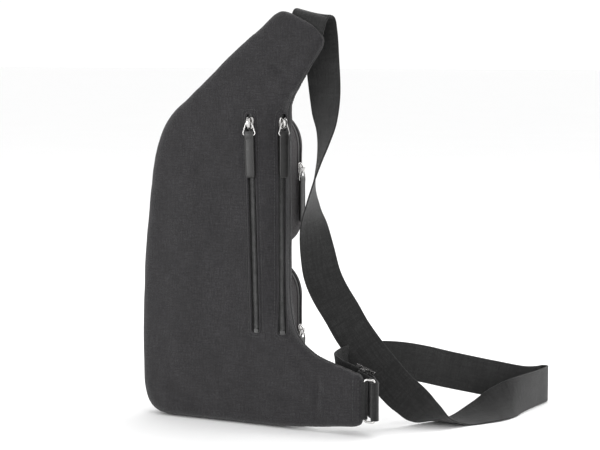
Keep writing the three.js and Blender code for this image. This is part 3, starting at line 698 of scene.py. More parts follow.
class Surface:
    """A finished piece that seams, welts and stitches are laid on."""

    def __init__(self, obj):
        mesh = obj.data
        mesh.calc_loop_triangles()
        triangles = [tuple(t.vertices) for t in mesh.loop_triangles]
        self.tree = BVHTree.FromPolygons([v.co.copy() for v in mesh.vertices], triangles)

    def under(self, points, outwards, reach=0.03):
        """Where each point lands on the surface along its outward line, and the normals."""
        placed, normals = [], []
        for point, outward in zip(points, outwards):
            outward = Vector(outward).normalized()
            start = Vector(point) + outward * reach
            hit, normal, _, _ = self.tree.ray_cast(start, -outward, 2 * reach)
            if hit is None:
                hit, normal = Vector(point), outward
            placed.append(hit)
            normals.append(normal if normal.dot(outward) > 0 else -normal)
        return np.array(placed), np.array(normals)

    def nearest(self, points):
        found = [self.tree.find_nearest(Vector(p)) for p in points]
        return np.array([f[0] for f in found]), np.array([f[1] for f in found])


def averaged(rows, rounds, closed=True):
    """The rows smoothed along their line, each a little towards its neighbours."""
    for _ in range(rounds):
        if closed:
            rows = (np.roll(rows, 1, axis=0) + 2 * rows + np.roll(rows, -1, axis=0)) / 4
        else:
            rows[1:-1] = (rows[:-2] + 2 * rows[1:-1] + rows[2:]) / 4
    return rows


# ---------------------------------------------------------------- the canvas shell
ROLL_CENTRE_X = BODY_WIDTH - ROLL_RADIUS
ZIP_SLOT_WIDTH = 10
ZIP_SLOT_LENGTH = 220
ZIP_MIDDLE = SHOULDER - ZIP_SLOT_LENGTH / 2
ROLL_ANGLE = math.radians(67)
FLARE_ANGLE = math.radians(27)  # the way out of the bag below the main slider's travel
TRACK_SPARE = 8  # how far a zip's line is known past each end of its slot
SLIDER_TRAVEL_END = 36  # below the slot's middle, where a side zip may leave its straight line


class Zip:
    """Where a side zip runs: its middle, the way out of the bag, up it and across it."""

    def __init__(self, name, origin, outward, up):
        self.name = name
        self.origin = np.array(origin, float)
        self.outward = np.array(outward, float)
        self.up = np.array(up, float) / np.linalg.norm(up)
        self.across = np.cross(self.outward, self.up)

    def at(self, across, outward, up):
        return place(self.origin + across * self.across + outward * self.outward + up * self.up)

    def away(self, points):
        """How far points on the bag are from the zip's slot, across it and past its ends."""
        offset = points - self.origin
        past_end = np.clip(np.abs(offset @ self.up) - ZIP_SLOT_LENGTH / 2, 0, None)
        return np.hypot(offset @ self.across, past_end)


REAR_ZIP = Zip("rear_zip", (ROLL_CENTRE_X - 8, 0, ZIP_MIDDLE), (0, -1, 0),
               (-6, 0, ZIP_SLOT_LENGTH))
MAIN_ZIP = Zip(
    "main_zip",
    (ROLL_CENTRE_X + ROLL_RADIUS * math.sin(ROLL_ANGLE),
     ROLL_RADIUS * (1 - math.cos(ROLL_ANGLE)), ZIP_MIDDLE),
    (math.sin(ROLL_ANGLE), -math.cos(ROLL_ANGLE), 0), (0, 0, 1),
)


def shell_limits(local):
    """How far each point of the shell may swell: little at seams, zips, base and ends."""
    x, y, z = local.T
    panel = 3.2 * np.clip((x - 4) / 40, 0, 1) * np.clip(z / 60, 0, 1)
    panel *= np.clip((SHOULDER + 50 - z) / 90, 0, 1)
    for zip_line in (REAR_ZIP, MAIN_ZIP):
        near = np.clip((zip_line.away(local) - 9) / 45, 0, 1)
        panel *= np.where(y < FRONT_SEAM, near, 1)
    panel *= np.clip((BODY_WIDTH + 30 - x) / 40, 0, 1)
    front = y > FRONT_SEAM
    return np.where(front, np.minimum(panel, 0.6), panel).clip(0.02)


def crease(points, normals, start, end, width, depth):
    """A soft valley between two points of the back, deepest in its middle."""
    a, b = np.array(start, float), np.array(end, float)
    flat = points[:, [0, 2]]
    share = ((flat - a) @ (b - a) / ((b - a) @ (b - a))).clip(0, 1)
    off = np.linalg.norm(flat - (a + share[:, None] * (b - a)), axis=1)
    fade = np.sin(np.pi * (0.08 + 0.84 * share))
    valley = np.exp(-(off / width) ** 2)
    shoulder = 0.45 * np.exp(-((off - 2.2 * width) / (1.3 * width)) ** 2)
    profile = valley - shoulder
    return -normals * (depth * fade * profile)[:, None]


# Each crease's two ends in x and z, its width and its depth.
BACK_CREASES = [
    ((150, 365), (176, 347), 3.5, 1.1), ((118, 340), (150, 322), 5, 0.7),
    ((168, 338), (178, 327), 3, 0.8), ((158, 352), (186, 366), 4, 0.6),
    ((204, 20), (207, 58), 3.2, 0.9), ((186, 62), (222, 30), 5, 0.7),
    ((172, 84), (196, 60), 4.5, 0.8), ((150, 40), (200, 26), 7, 0.7),
    ((30, 40), (80, 18), 8, 0.7), ((40, 250), (96, 268), 10, 0.5),
    ((20, 120), (90, 96), 12, 0.5), ((60, 180), (118, 196), 11, 0.45),
]


def wrinkle(obj):
    """Listed creases, and a slow uneven drape, on the side away from the floor."""
    mesh = obj.data
    points = local_points(mesh)
    normals = np.array([v.normal for v in mesh.vertices])
    moved = np.zeros_like(points)
    back = (normals[:, 1] < 0.3)[:, None]
    for start, end, width, depth in BACK_CREASES:
        moved += back * crease(points, normals, start, end, width, depth)
    slow = np.array([
        noise.noise(Vector((p[0] / 46, p[1] / 60 + 3.1, p[2] / 70)))
        + 0.5 * noise.noise(Vector((p[0] / 17 + 9.7, p[1] / 30, p[2] / 24)))
        for p in points
    ])
    calm = np.ones(len(points))
    for zip_line in (REAR_ZIP, MAIN_ZIP):
        calm *= 0.25 + 0.75 * np.clip((zip_line.away(points) - 6) / 20, 0, 1)
    calm *= np.clip(points[:, 2] / 12, 0, 1)
    moved += normals * (0.9 * slow * calm)[:, None]
    points += moved
    points[:, 2] = points[:, 2].clip(0)
    mesh.vertices.foreach_set("co", (points * MM + np.array(ORIGIN)).ravel())
    mesh.update()


def unrolled(obj):
    """Each point's place on the cloth: the panel's plane, folded out at its edges."""
    points = local_points(obj.data)
    ring = FULL[:, [0, 2]]
    ahead, behind = np.roll(ring, -1, axis=0), np.roll(ring, 1, axis=0)
    outward = np.stack([ahead[:, 1] - behind[:, 1], behind[:, 0] - ahead[:, 0]], axis=1)
    outward /= np.linalg.norm(outward, axis=1)[:, None]
    outward = averaged(outward, 6)
    tree = KDTree(len(ring))
    for index, (x, z) in enumerate(ring):
        tree.insert((x, 0, z), index)
    tree.balance()
    near = np.array([tree.find((x, 0, z))[1] for x, _, z in points])
    side = outward[near]
    depth = np.where(points[:, 1] < MAIN[near, 1], points[:, 1], BODY_DEPTH - points[:, 1])
    return (points[:, [0, 2]] + side * depth[:, None]) * MM


class Track:
    """The line that a side zip follows: straight where its slider runs, and on the bag's
    surface below that, where the bag flares out to its tail."""

    def __init__(self, zip_line, surface, flare):
        self.zip_line = zip_line
        self.flare = np.array([math.sin(flare), -math.cos(flare), 0])
        end = ZIP_SLOT_LENGTH / 2 + TRACK_SPARE
        self.heights = np.linspace(-end, end, 95)
        nominal = np.array([zip_line.at(0, 0, u) for u in self.heights])
        landed, normals = surface.under(nominal, [self.flare] * len(nominal))
        follows = np.clip((-SLIDER_TRAVEL_END - self.heights) / 30, 0, 1)
        self.lift = averaged((landed - nominal) @ self.flare * follows, 3, False)
        blended = normals * follows[:, None] + zip_line.outward * (1 - follows[:, None])
        self.outwards = square_to(averaged(blended, 12, False), self.travel())

    def travel(self):
        return directions([self.centre(u) for u in self.heights])

    def centre(self, u):
        lift = np.interp(u, self.heights, self.lift)
        return np.array(self.zip_line.at(0, 0, u)) + lift * self.flare

    def outward(self, u):
        rows = [np.interp(u, self.heights, column) for column in self.outwards.T]
        return np.array(rows) / np.linalg.norm(rows)

    def at(self, across, outward, u):
        """A point across the slot, out of the bag and along the zip, in metres."""
        side = np.cross(self.outward(u), self.zip_line.up)
        side /= np.linalg.norm(side)
        return self.centre(u) + (across * side + outward * self.outward(u)) * MM

    def sweep(self, name, low, high, section, material):
        """A strip along the zip whose section is in its own across and outward directions."""
        spots = np.linspace(low, high, 70)
        centres = np.array([self.at(0, 0, u) for u in spots])
        outward = np.array([self.outward(u) for u in spots])
        across = np.cross(outward, directions(centres))
        return sweep(name, centres, across, outward, np.array(section) * MM, material)


def slot_cutter(track):
    half, reach, low = ZIP_SLOT_WIDTH / 2, 6, -4
    length = ZIP_SLOT_LENGTH / 2
    section = [(-half, low), (half, low), (half, reach), (-half, reach)]
    return track.sweep("cutter", -length, length, section, CANVAS)


def build_shell():
    back_shares = (0, 0.02, 0.06, 0.1, 0.15, 0.21, 0.28, 0.36, 0.45, 0.55, 0.65, 0.82, 1)
    front_shares = (0, 0.03, 0.08, 0.15, 0.22, 0.3, 0.38, 0.45, 0.52, 0.6, 0.67, 0.74, 0.8,
                    0.86, 0.91, 0.95, 0.98, 1)
    rings = [back_ring(s) for s in back_shares] + [front_ring(s) for s in front_shares]
    shell = soft_body("bag_shell", rings, CANVAS, shell_limits)
    wrinkle(shell)
    surface = Surface(shell)
    tracks = [Track(REAR_ZIP, surface, 0), Track(MAIN_ZIP, surface, FLARE_ANGLE)]
    for track in tracks:
        carve(shell, slot_cutter(track))
    shell.data.shade_smooth()
    set_weave(shell.data, unrolled(shell))
    settle(shell, "root", "canvas", "back_shell", "front_shell")
    return surface, tracks


def outline_seam(surface, height):
    """The outline at a height over the front seam, laid on the finished shell."""
    ring = np.stack([FULL[:, 0], MAIN[:, 1] + height, FULL[:, 2].clip(0)], axis=1)
    return surface.nearest([place(p) for p in ring])


RIM_STITCHES = 4.2  # from the seam


def add_rim_seam(surface):
    """Where the back panel is sewn to the front: a dark sunk cord that is painted shade for the
    seam's groove, and a row of stitches.
    """
    line, normals = outline_seam(surface, 0)
    joined = evenly(np.hstack([averaged(line, 1), normals]), 2.5 * MM, closed=True)
    centres, outward = joined[:, :3], joined[:, 3:]
    # Painted shade: this dark cord sunk in the seam stands for the shadow in its groove.
    cord = wire("rim_seam", centres - outward * 0.15 * MM, outward, 0.55 * MM, SEAM_CORD_AND_SHADE, True, 8)
    settle(cord, "root", "canvas")
    beside, normals = outline_seam(surface, RIM_STITCHES)
    above = beside[:, 2] > 3 * MM  # none where the bag stands on the floor
    start = int(np.argmax(~above))
    order = np.roll(np.arange(len(beside)), -start)
    order = order[above[order]]
    row = stitch_row("rim_stitches", averaged(beside[order], 1, False), normals[order], THREAD)
    settle(row, "root", "canvas")


# ---------------------------------------------------------------- zips
COIL_PITCH = 1.35
PULL_HEIGHT = 3.1
LOOP_WIDTH = 13.2
LOOP_DROP = 13
PULL_LENGTH = 42
TAB_BAR = 1 - LOOP_DROP  # the wire that the leather tab is folded over, from the slider's middle
TAB_TOP = TAB_BAR + 4.6
TAB_END = TAB_BAR - PULL_LENGTH
TAB_WIDTH = 10.4
# Heights along the leather tab, and its half thickness there.
TAB_STATIONS = [
    (TAB_TOP, 0.15), (TAB_TOP - 0.25, 0.75), (TAB_TOP - 0.8, 1.15), (TAB_TOP - 2, 1.4),
    (TAB_BAR + 1.2, 1.68), (TAB_BAR, 1.75), (TAB_BAR - 1.5, 1.6), (TAB_BAR - 3.5, 1.25),
    (TAB_BAR - 8, 1.35), (TAB_BAR - 16, 1.5), (TAB_BAR - 26, 1.45), (TAB_END + 6, 1.3),
    (TAB_END + 2.2, 1.2), (TAB_END + 0.9, 1.05), (TAB_END + 0.25, 0.7), (TAB_END, 0.2),
]
# From a face's edge to its middle, in shares of half the width and half the thickness: a
# rolled edge, the groove that the stitches pull in, and a low crown.
TAB_FACE = [(-1, 0.35), (-0.96, 0.8), (-0.89, 0.97), (-0.81, 0.88), (-0.75, 0.74),
            (-0.68, 0.8), (-0.35, 0.92), (0, 0.96)]


def add_zip_chain(name, line, outwards, node):
    """A nylon coil zip's teeth: pairs of small bars that meet in the middle, and its cords."""
    rows = evenly(np.hstack([line, outwards]), COIL_PITCH / 2 * MM)
    centres, outward = rows[:, :3], rows[:, 3:]
    travel = directions(centres)
    outward = square_to(outward, travel)
    side = np.cross(travel, outward)
    sign = np.where(np.arange(len(centres)) % 2, 1.0, -1.0)[:, None]
    middles = centres + side * sign * 0.75 * MM
    teeth = add_capsules(name, middles, side, outward, 3.1 * MM, 1.15 * MM, 1.6 * MM, NYLON)
    settle(teeth, "root", "zip_coil", node)
    for edge, hand in (("a", -1), ("b", 1)):
        rail = centres + side * hand * 2.15 * MM - outward * 0.3 * MM
        cord = wire(f"{name}_cord_{edge}", evenly(rail, 2 * MM), outward[0] + travel[0] * 0.01,
                    0.42 * MM, THREAD, sides=6)
        settle(cord, "root", "zip_tape")


def laid_on(surface, track, width, length, corner, spacing, rounds):
    """A rounded rectangle round the slot, laid on the bag's surface, and its normals."""
    corners = rounded_corners(width, length, corner, 3)
    rim = evenly(np.column_stack([corners, 0 * corners[:, 0]]), spacing, True)
    points = [track.at(a, 0, u) for a, u, _ in rim]
    line, normals = surface.under(points, [track.outward(u) for _, u, _ in rim], 0.012)
    return averaged(line, rounds), averaged(normals, rounds + 2)


def add_welt(surface, track):
    """The canvas folded round the slot's edge, and the stitching that holds it down."""
    name = f"{track.zip_line.name}_welt"
    line, normals = laid_on(
        surface, track, ZIP_SLOT_WIDTH + 0.6, ZIP_SLOT_LENGTH + 0.6, 1.2, 2.5, 2)
    travel = directions(line, True)
    normals = square_to(normals, travel)
    across = np.cross(travel, normals)
    section = oval(1.15, 0.7, 12, lift=0.1) * MM
    welt = sweep(name, line, across, normals, section, CANVAS, closed=True)
    settle(welt, "root", "canvas")
    line, normals = laid_on(
        surface, track, ZIP_SLOT_WIDTH + 6.4, ZIP_SLOT_LENGTH + 6.4, 1.0, 3, 1)
    row = stitch_row(f"{name}_stitches", np.vstack([line, line[:1]]),
                     np.vstack([normals, normals[:1]]), THREAD)
    settle(row, "root", "canvas")


def add_tape(track):
    """The woven tape behind the slot, as one strip with a rib beside the coil."""
    half, length = ZIP_SLOT_WIDTH / 2 + 1.5, ZIP_SLOT_LENGTH / 2 + 4
    face, back, rib = -2.4, -3.2, -1.9
    section = [(-half, face), (-4, face), (-3.3, rib), (-2.6, face), (2.6, face), (3.3, rib),
               (4, face), (half, face), (half, back), (-half, back)]
    name = track.zip_line.name
    strip = track.sweep(f"{name}_tape_strip", -length, length, section, TAPE)
    settle(strip, "root", "zip_tape", f"{name}_tape")


def bevelled_copy(name, node, width, material):
    """A CAD node's solid with its edges rounded, as a cast or ground piece has them."""
    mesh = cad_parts[node].data.copy()
    made = bpy.data.objects.new(name, mesh)
    bpy.context.scene.collection.objects.link(made)
    apply_modifier(made, "WELD", merge_threshold=0.00002)
    apply_modifier(made, "DECIMATE", decimate_type="DISSOLVE", angle_limit=math.radians(3))
    apply_modifier(made, "BEVEL", width=width * MM, segments=4, limit_method="ANGLE",
                   angle_limit=math.radians(28), harden_normals=False)
    made.data.materials.clear()
    made.data.materials.append(material)
    made.data.shade_smooth()
    apply_modifier(made, "WEIGHTED_NORMAL", keep_sharp=True)
    return made


def rounded_profile(power):
    """A closed section one unit out each way, between a circle and a square."""
    round_section = circle(1.0, 20)
    return np.sign(round_section) * np.abs(round_section) ** power


def swelling(name, spot, stations, material, power):
    """A closed form along a line in a zip's own directions. Each station is its height along
    the zip, its distance out of the bag, and its half width and half thickness there."""
    rows = smooth_line(stations, 4)
    line = np.array([spot(0, out, up) for up, out, _, _ in rows])
    across = np.array(spot(1, 0, 0) - spot(0, 0, 0))
    travel = directions(line)
    thick = np.cross(travel, across / np.linalg.norm(across)) * MM
    firsts = across[None] * rows[:, 2:3]
    return sweep(name, line, firsts, thick * rows[:, 3:4], rounded_profile(power), material)


# Stations of the slider's three forms, as swelling() takes them.
SLIDER_PLATE = [(6, 0.6, 1.6, 0.25), (5.7, 0.65, 3.2, 0.7), (4.6, 0.7, 3.9, 0.85),
                (1.5, 0.75, 4.1, 0.9), (-2, 0.75, 3.5, 0.85), (-4.8, 0.7, 3, 0.8),
                (-5.7, 0.65, 2.2, 0.6), (-6, 0.6, 1, 0.2)]
SLIDER_BACK = [(5.6, -1.2, 1.6, 0.25), (5, -1.2, 3.2, 0.5), (0, -1.2, 3.4, 0.55),
               (-4.6, -1.2, 2.6, 0.5), (-5.4, -1.2, 1.2, 0.25)]
SLIDER_CROWN = [(5.4, 0.9, 1.5, 0.55), (5, 2.4, 1.9, 0.65), (3.7, 4.1, 2.25, 0.75),
                (1.2, 5.05, 2.3, 0.8), (-1.8, 4.9, 1.95, 0.75), (-4, 3.7, 1.6, 0.65),
                (-4.9, 2.1, 1.4, 0.55), (-5.1, 0.9, 1.3, 0.5)]


def add_slider(name, spot):
    """A zip slider: a waisted domed plate, its back in the slot, and a crown for the wire."""
    shapes = (("plate", SLIDER_PLATE, 0.55), ("back", SLIDER_BACK, 0.5),
              ("crown", SLIDER_CROWN, 0.8))
    for part, stations, power in shapes:
        piece = swelling(f"{name}_slider_{part}", spot, stations, NICKEL, power)
        settle(piece, f"{name}_slider", "nickel", f"{name}_slider")


def add_pull(name, at, outward, up):
    """Slider, wire loop and leather tab of one zip; at is the slider's middle in metres."""
    outward, up = Vector(outward), Vector(up)
    across = outward.cross(up)
    basis = Matrix((across, outward, up)).transposed()

    def spot(a, o, u):
        return Vector(at) + basis @ (Vector((a, o, u)) * MM)

    add_slider(name, spot)
    bend = rounded_corners(LOOP_WIDTH, LOOP_DROP, 2.6)
    narrowed = [(a * (1 - 0.45 * max(0, (u + 2) / LOOP_DROP * 2)), u) for a, u in bend]
    bend = smooth_line(evenly(np.array(narrowed), 1.6, closed=True), 4, closed=True)
    ring = [spot(a, PULL_HEIGHT, 1 - LOOP_DROP / 2 + u) for a, u in bend]
    loop = wire(f"{name}_wire", ring, outward, 0.72 * MM, NICKEL, closed=True)
    settle(loop, f"{name}_loop", "nickel", f"{name}_loop")
    add_leather_tab(name, spot, basis)


def add_leather_tab(name, spot, basis):
    """A strip folded over the wire: its faces, the rounded fold, and a narrower lower end."""
    face = TAB_FACE + [(-u, v) for u, v in reversed(TAB_FACE[:-1])]
    section = face + [(u, -v) for u, v in reversed(face)]
    rings = []
    for height, thick in TAB_STATIONS:
        tip = max(0.0, 1.8 - (height - TAB_END))
        wide = TAB_WIDTH / 2 - 0.55 * tip - (0.5 if height > TAB_TOP - 0.5 else 0)
        rings.append([spot(u * wide, PULL_HEIGHT + v * thick, height) for u, v in section])
    faces = tube_faces(len(rings), len(section))
    tab = add_mesh(f"{name}_leather", [p for ring in rings for p in ring], faces, LEATHER)
    apply_modifier(tab, "SUBSURF", levels=2, render_levels=2)
    settle(tab, f"{name}_tab", "leather", f"{name}_tab")
    add_tab_stitches(name, spot, basis)


def add_tab_stitches(name, spot, basis):
    """A border of stitches on each face of the leather tab."""
    inset = TAB_WIDTH / 2 - 1.3
    top, end = TAB_BAR - 3.4, TAB_END + 1.7
    border = [(-inset, top), (-inset, end), (inset, end), (inset, top), (-inset, top)]
    for face, hand in (("front", 1), ("back", -1)):
        line = evenly([spot(a, PULL_HEIGHT + hand * 1.3, u) for a, u in border], 0.5 * MM)
        outwards = [tuple(basis @ Vector((0, hand, 0)))] * len(line)
        row = stitch_row(f"{name}_leather_stitches_{face}", line, outwards, THREAD,
                         pitch=2.1, length=1.6, thickness=0.42)
        settle(row, f"{name}_tab", "leather")


def add_side_zip(surface, track):
    zip_line, name = track.zip_line, track.zip_line.name
    add_tape(track)
    add_welt(surface, track)
    half = ZIP_SLOT_LENGTH / 2
    spots = np.linspace(-half + 5, half - 1, 120)
    line = np.array([track.at(0, -1.2, u) for u in spots])
    add_zip_chain(f"{name}_teeth", line, [track.outward(u) for u in spots], f"{name}_coil")
    stop_section = rounded_corners(5.2, 1.9, 0.7, 3) + np.array([0, -1.1])
    stop = track.sweep(f"{name}_end_stop", -half + 0.8, -half + 4.6, stop_section, NYLON)
    settle(stop, "root", "zip_coil", f"{name}_stop")
    add_pull(name, zip_line.at(0, 0, half - 10), zip_line.outward, zip_line.up)


# ---------------------------------------------------------------- front pockets
POCKET_DEPTH = 34
POCKET_WIDTH = 140
POCKET_LEFT = (BODY_WIDTH - POCKET_WIDTH) / 2 + 3
POCKET_RIGHT = POCKET_LEFT + POCKET_WIDTH
POCKET_NEAR = BODY_DEPTH + WALL_GAP
POCKET_FAR = BODY_DEPTH + POCKET_DEPTH
FACE_RADIUS = 7
CHAIN_Y = POCKET_FAR - FACE_RADIUS - ZIP_SLOT_WIDTH / 2
POCKET_SLOT_HALF = 3.4
POCKET_TOP_CORNER = 37
POCKET_BOTTOM_CORNER = 31
DEPTHWAYS = np.array([0.0, 1.0, 0.0])


class Pocket:
    def __init__(self, name, bottom, top, zip_end):
        self.name, self.bottom, self.top, self.zip_end = name, bottom, top, zip_end

    def ring(self, y, inset, spacing=3.0):
        """The pocket's outline at a depth, from its right end of the zip round the top."""
        steps = 8
        high, low = POCKET_TOP_CORNER, POCKET_BOTTOM_CORNER
        corners = [(POCKET_RIGHT, self.top, high, 0), (POCKET_LEFT, self.top, high, 1),
                   (POCKET_LEFT, self.bottom, low, 2), (POCKET_RIGHT, self.bottom, low, 3)]
        middle_x = (POCKET_LEFT + POCKET_RIGHT) / 2
        middle_z = (self.bottom + self.top) / 2
        made = []
        for x, z, corner, quarter in corners:
            centre_x = x - math.copysign(corner, x - middle_x)
            centre_z = z - math.copysign(corner, z - middle_z)
            for k in range(steps + 1):
                angle = (quarter + k / steps) * math.pi / 2
                made.append((centre_x + (corner - inset) * math.cos(angle), y,
                             centre_z + (corner - inset) * math.sin(angle)))
        return evenly(made, spacing, closed=True)

    def upper_line(self, y, inset, low, spacing=2.0):
        """The part of the outline above a height, from the right side to the left."""
        ring = self.ring(y, inset, spacing)
        start = int(np.argmin(np.abs(ring[:, 2] - low) + 1e3 * (ring[:, 0] < POCKET_RIGHT - 25)))
        ring = np.roll(ring, -start, axis=0)
        if ring[1, 2] < ring[0, 2]:
            ring = np.roll(ring[::-1], 1, axis=0)
        last = int(np.argmax(ring[1:, 2] < low)) + 1
        return ring[:last]

    def outwards(self, line):
        """Unit directions out of the pocket's outline, for points on it."""
        travel = directions(line)
        side = np.cross(travel, DEPTHWAYS)
        middle = np.array([(POCKET_LEFT + POCKET_RIGHT) / 2, 0, (self.bottom + self.top) / 2])
        away = ((line - middle) * side).sum(axis=1).mean()
        return side * math.copysign(1, away)


def pocket_limits(local):
    """How far each point of a pocket may swell: most on its face, little where it is sewn on."""
    y = local[:, 1]
    most = np.where(y > POCKET_FAR - FACE_RADIUS - 1, 2.6, 0.8)
    return most * np.clip((y - POCKET_NEAR) / 6, 0.03, 1)


def band_cutter(pocket):
    """A groove's shape round the pocket where its zip is."""
    line = pocket.upper_line(CHAIN_Y, 0, pocket.zip_end + 6, 2.0)
    outward = pocket.outwards(line)
    centres = np.array([place(p) for p in line])
    depthways = np.broadcast_to(DEPTHWAYS, centres.shape)
    half = POCKET_SLOT_HALF
    section = np.array([(-4, -half), (5, -half), (5, half), (-4, half)]) * MM
    return sweep("cutter", centres, outward, depthways, section, CANVAS)


def add_pocket(pocket):
    name = pocket.name
    rings = [pocket.ring(y, 0) for y in (POCKET_NEAR, 52, 58, 63, POCKET_FAR - FACE_RADIUS)]
    for share in (0.2, 0.4, 0.6, 0.8, 1):
        angle = share * math.pi / 2
        inset = FACE_RADIUS * (1 - math.cos(angle))
        ring = resample_closed(pocket.ring(0, inset), len(rings[0]))
        ring[:, 1] = POCKET_FAR - FACE_RADIUS * (1 - math.sin(angle))
        rings.append(ring)
    body = soft_body(f"{name}_body", rings, POCKET_CANVAS, pocket_limits)
    surface = Surface(body)
    carve(body, band_cutter(pocket))
    body.data.shade_smooth()
    set_weave(body.data, pocket_cloth(body, pocket))
    settle(body, "root", "canvas", f"{name}_face", f"{name}_zip_band", f"{name}_gusset")
    add_pocket_zip(pocket, surface)
    add_pocket_seams(pocket, surface)
    at = place((POCKET_RIGHT, CHAIN_Y, pocket.zip_end + 14))
    add_pull(f"{name}_zip", at, (1, 0, 0), (0, 0, 1))


def resample_closed(ring, count):
    """A closed ring with exactly that many points, at one spacing."""
    rows = np.vstack([ring, ring[:1]])
    along = reached(rows)
    return at_distances(rows, along, np.linspace(0, along[-1], count + 1)[:-1])


def pocket_cloth(body, pocket):
    """Each point's place on the cloth: the face's plane, folded out at its sides."""
    points = local_points(body.data)
    middle = np.array([(POCKET_LEFT + POCKET_RIGHT) / 2, (pocket.bottom + pocket.top) / 2])
    flat = points[:, [0, 2]] - middle
    half = np.array([POCKET_WIDTH / 2, (pocket.top - pocket.bottom) / 2])
    share = flat / half
    side = np.where(np.abs(share[:, :1]) > np.abs(share[:, 1:]), [1.0, 0.0], [0.0, 1.0])
    side = side * np.sign(share)
    depth = (POCKET_FAR - points[:, 1])[:, None]
    return (points[:, [0, 2]] + side * depth) * MM


def add_pocket_zip(pocket, surface):
    """The pocket's tape, its teeth and the two folded edges beside them."""
    line = pocket.upper_line(CHAIN_Y, 0, pocket.zip_end + 7)
    outward = pocket.outwards(line)
    centres = np.array([place(p) for p in line])
    depthways = np.broadcast_to(DEPTHWAYS, centres.shape)
    half = POCKET_SLOT_HALF
    section = np.array([(-2.2, -half - 1), (-2.2, half + 1), (-2.8, half + 1),
                        (-2.8, -half - 1)]) * MM
    tape = sweep(f"{pocket.name}_zip_tape", centres, outward, depthways, section, TAPE)
    settle(tape, "root", "zip_tape")
    add_zip_chain(f"{pocket.name}_teeth", centres - outward * 1.1 * MM, outward,
                  f"{pocket.name}_coil")
    for edge, hand in (("near", -1), ("far", 1)):
        shift = np.array([0, hand * half, 0]) * MM
        rim, normals = surface.under(centres + shift, outward, 0.012)
        rim, normals = averaged(rim, 2, False), averaged(normals, 3, False)
        travel = directions(rim)
        normals = square_to(normals, travel)
        side = np.cross(travel, normals)
        fold = oval(0.95, 0.55, 10) * MM
        welt = sweep(f"{pocket.name}_zip_edge_{edge}", rim, side, normals, fold, POCKET_CANVAS)
        settle(welt, "root", "canvas")


def add_pocket_seams(pocket, surface):
    """Piping round the face, a stitched rim beside it, and the gusset's double seam."""
    ring = pocket.ring(POCKET_FAR - 2.2, 1.6, 2.5)
    line = averaged(surface.nearest([place(p) for p in ring])[0], 1)
    piping = wire(f"{pocket.name}_piping", line, (0, 1, 0.001), 1.05 * MM, POCKET_CANVAS, True, 10)
    settle(piping, "root", "canvas")
    ring = pocket.ring(POCKET_FAR, 8.5, 2.5)
    ring = np.vstack([ring, ring[:1]])
    line, normals = surface.under([place(p) for p in ring], [(0, 1, 0)] * len(ring))
    row = stitch_row(f"{pocket.name}_face_stitches", line, normals, THREAD)
    settle(row, "root", "canvas")
    depths = np.arange(POCKET_NEAR + 1.5, POCKET_FAR - 5, 1.5)
    for part, height in (("a", pocket.zip_end - 2.6), ("b", pocket.zip_end + 2.6)):
        for side, x, out in (("right", POCKET_RIGHT, 1), ("left", POCKET_LEFT, -1)):
            spots = [place((x, y, height)) for y in depths]
            line, normals = surface.under(spots, [(out, 0, 0)] * len(spots), 0.012)
            row = stitch_row(f"{pocket.name}_gusset_seam_{side}_{part}", line, normals, THREAD)
            settle(row, "root", "canvas")
    ring = pocket.ring(POCKET_NEAR + 0.6, 0, 2.5)
    line = np.array([place(p) for p in ring])
    welt = wire(f"{pocket.name}_base_seam", line, (0, 1, 0.001), 0.9 * MM, SEAM_CORD_AND_SHADE, True, 8)
    settle(welt, "root", "canvas")


# ---------------------------------------------------------------- strap, ring and adjuster
WEBBING_WIDTH = 38
WEBBING_THICKNESS = 1.7
UP = (0, 0, 1)
LEANING = (0.37, 0, 0.93)
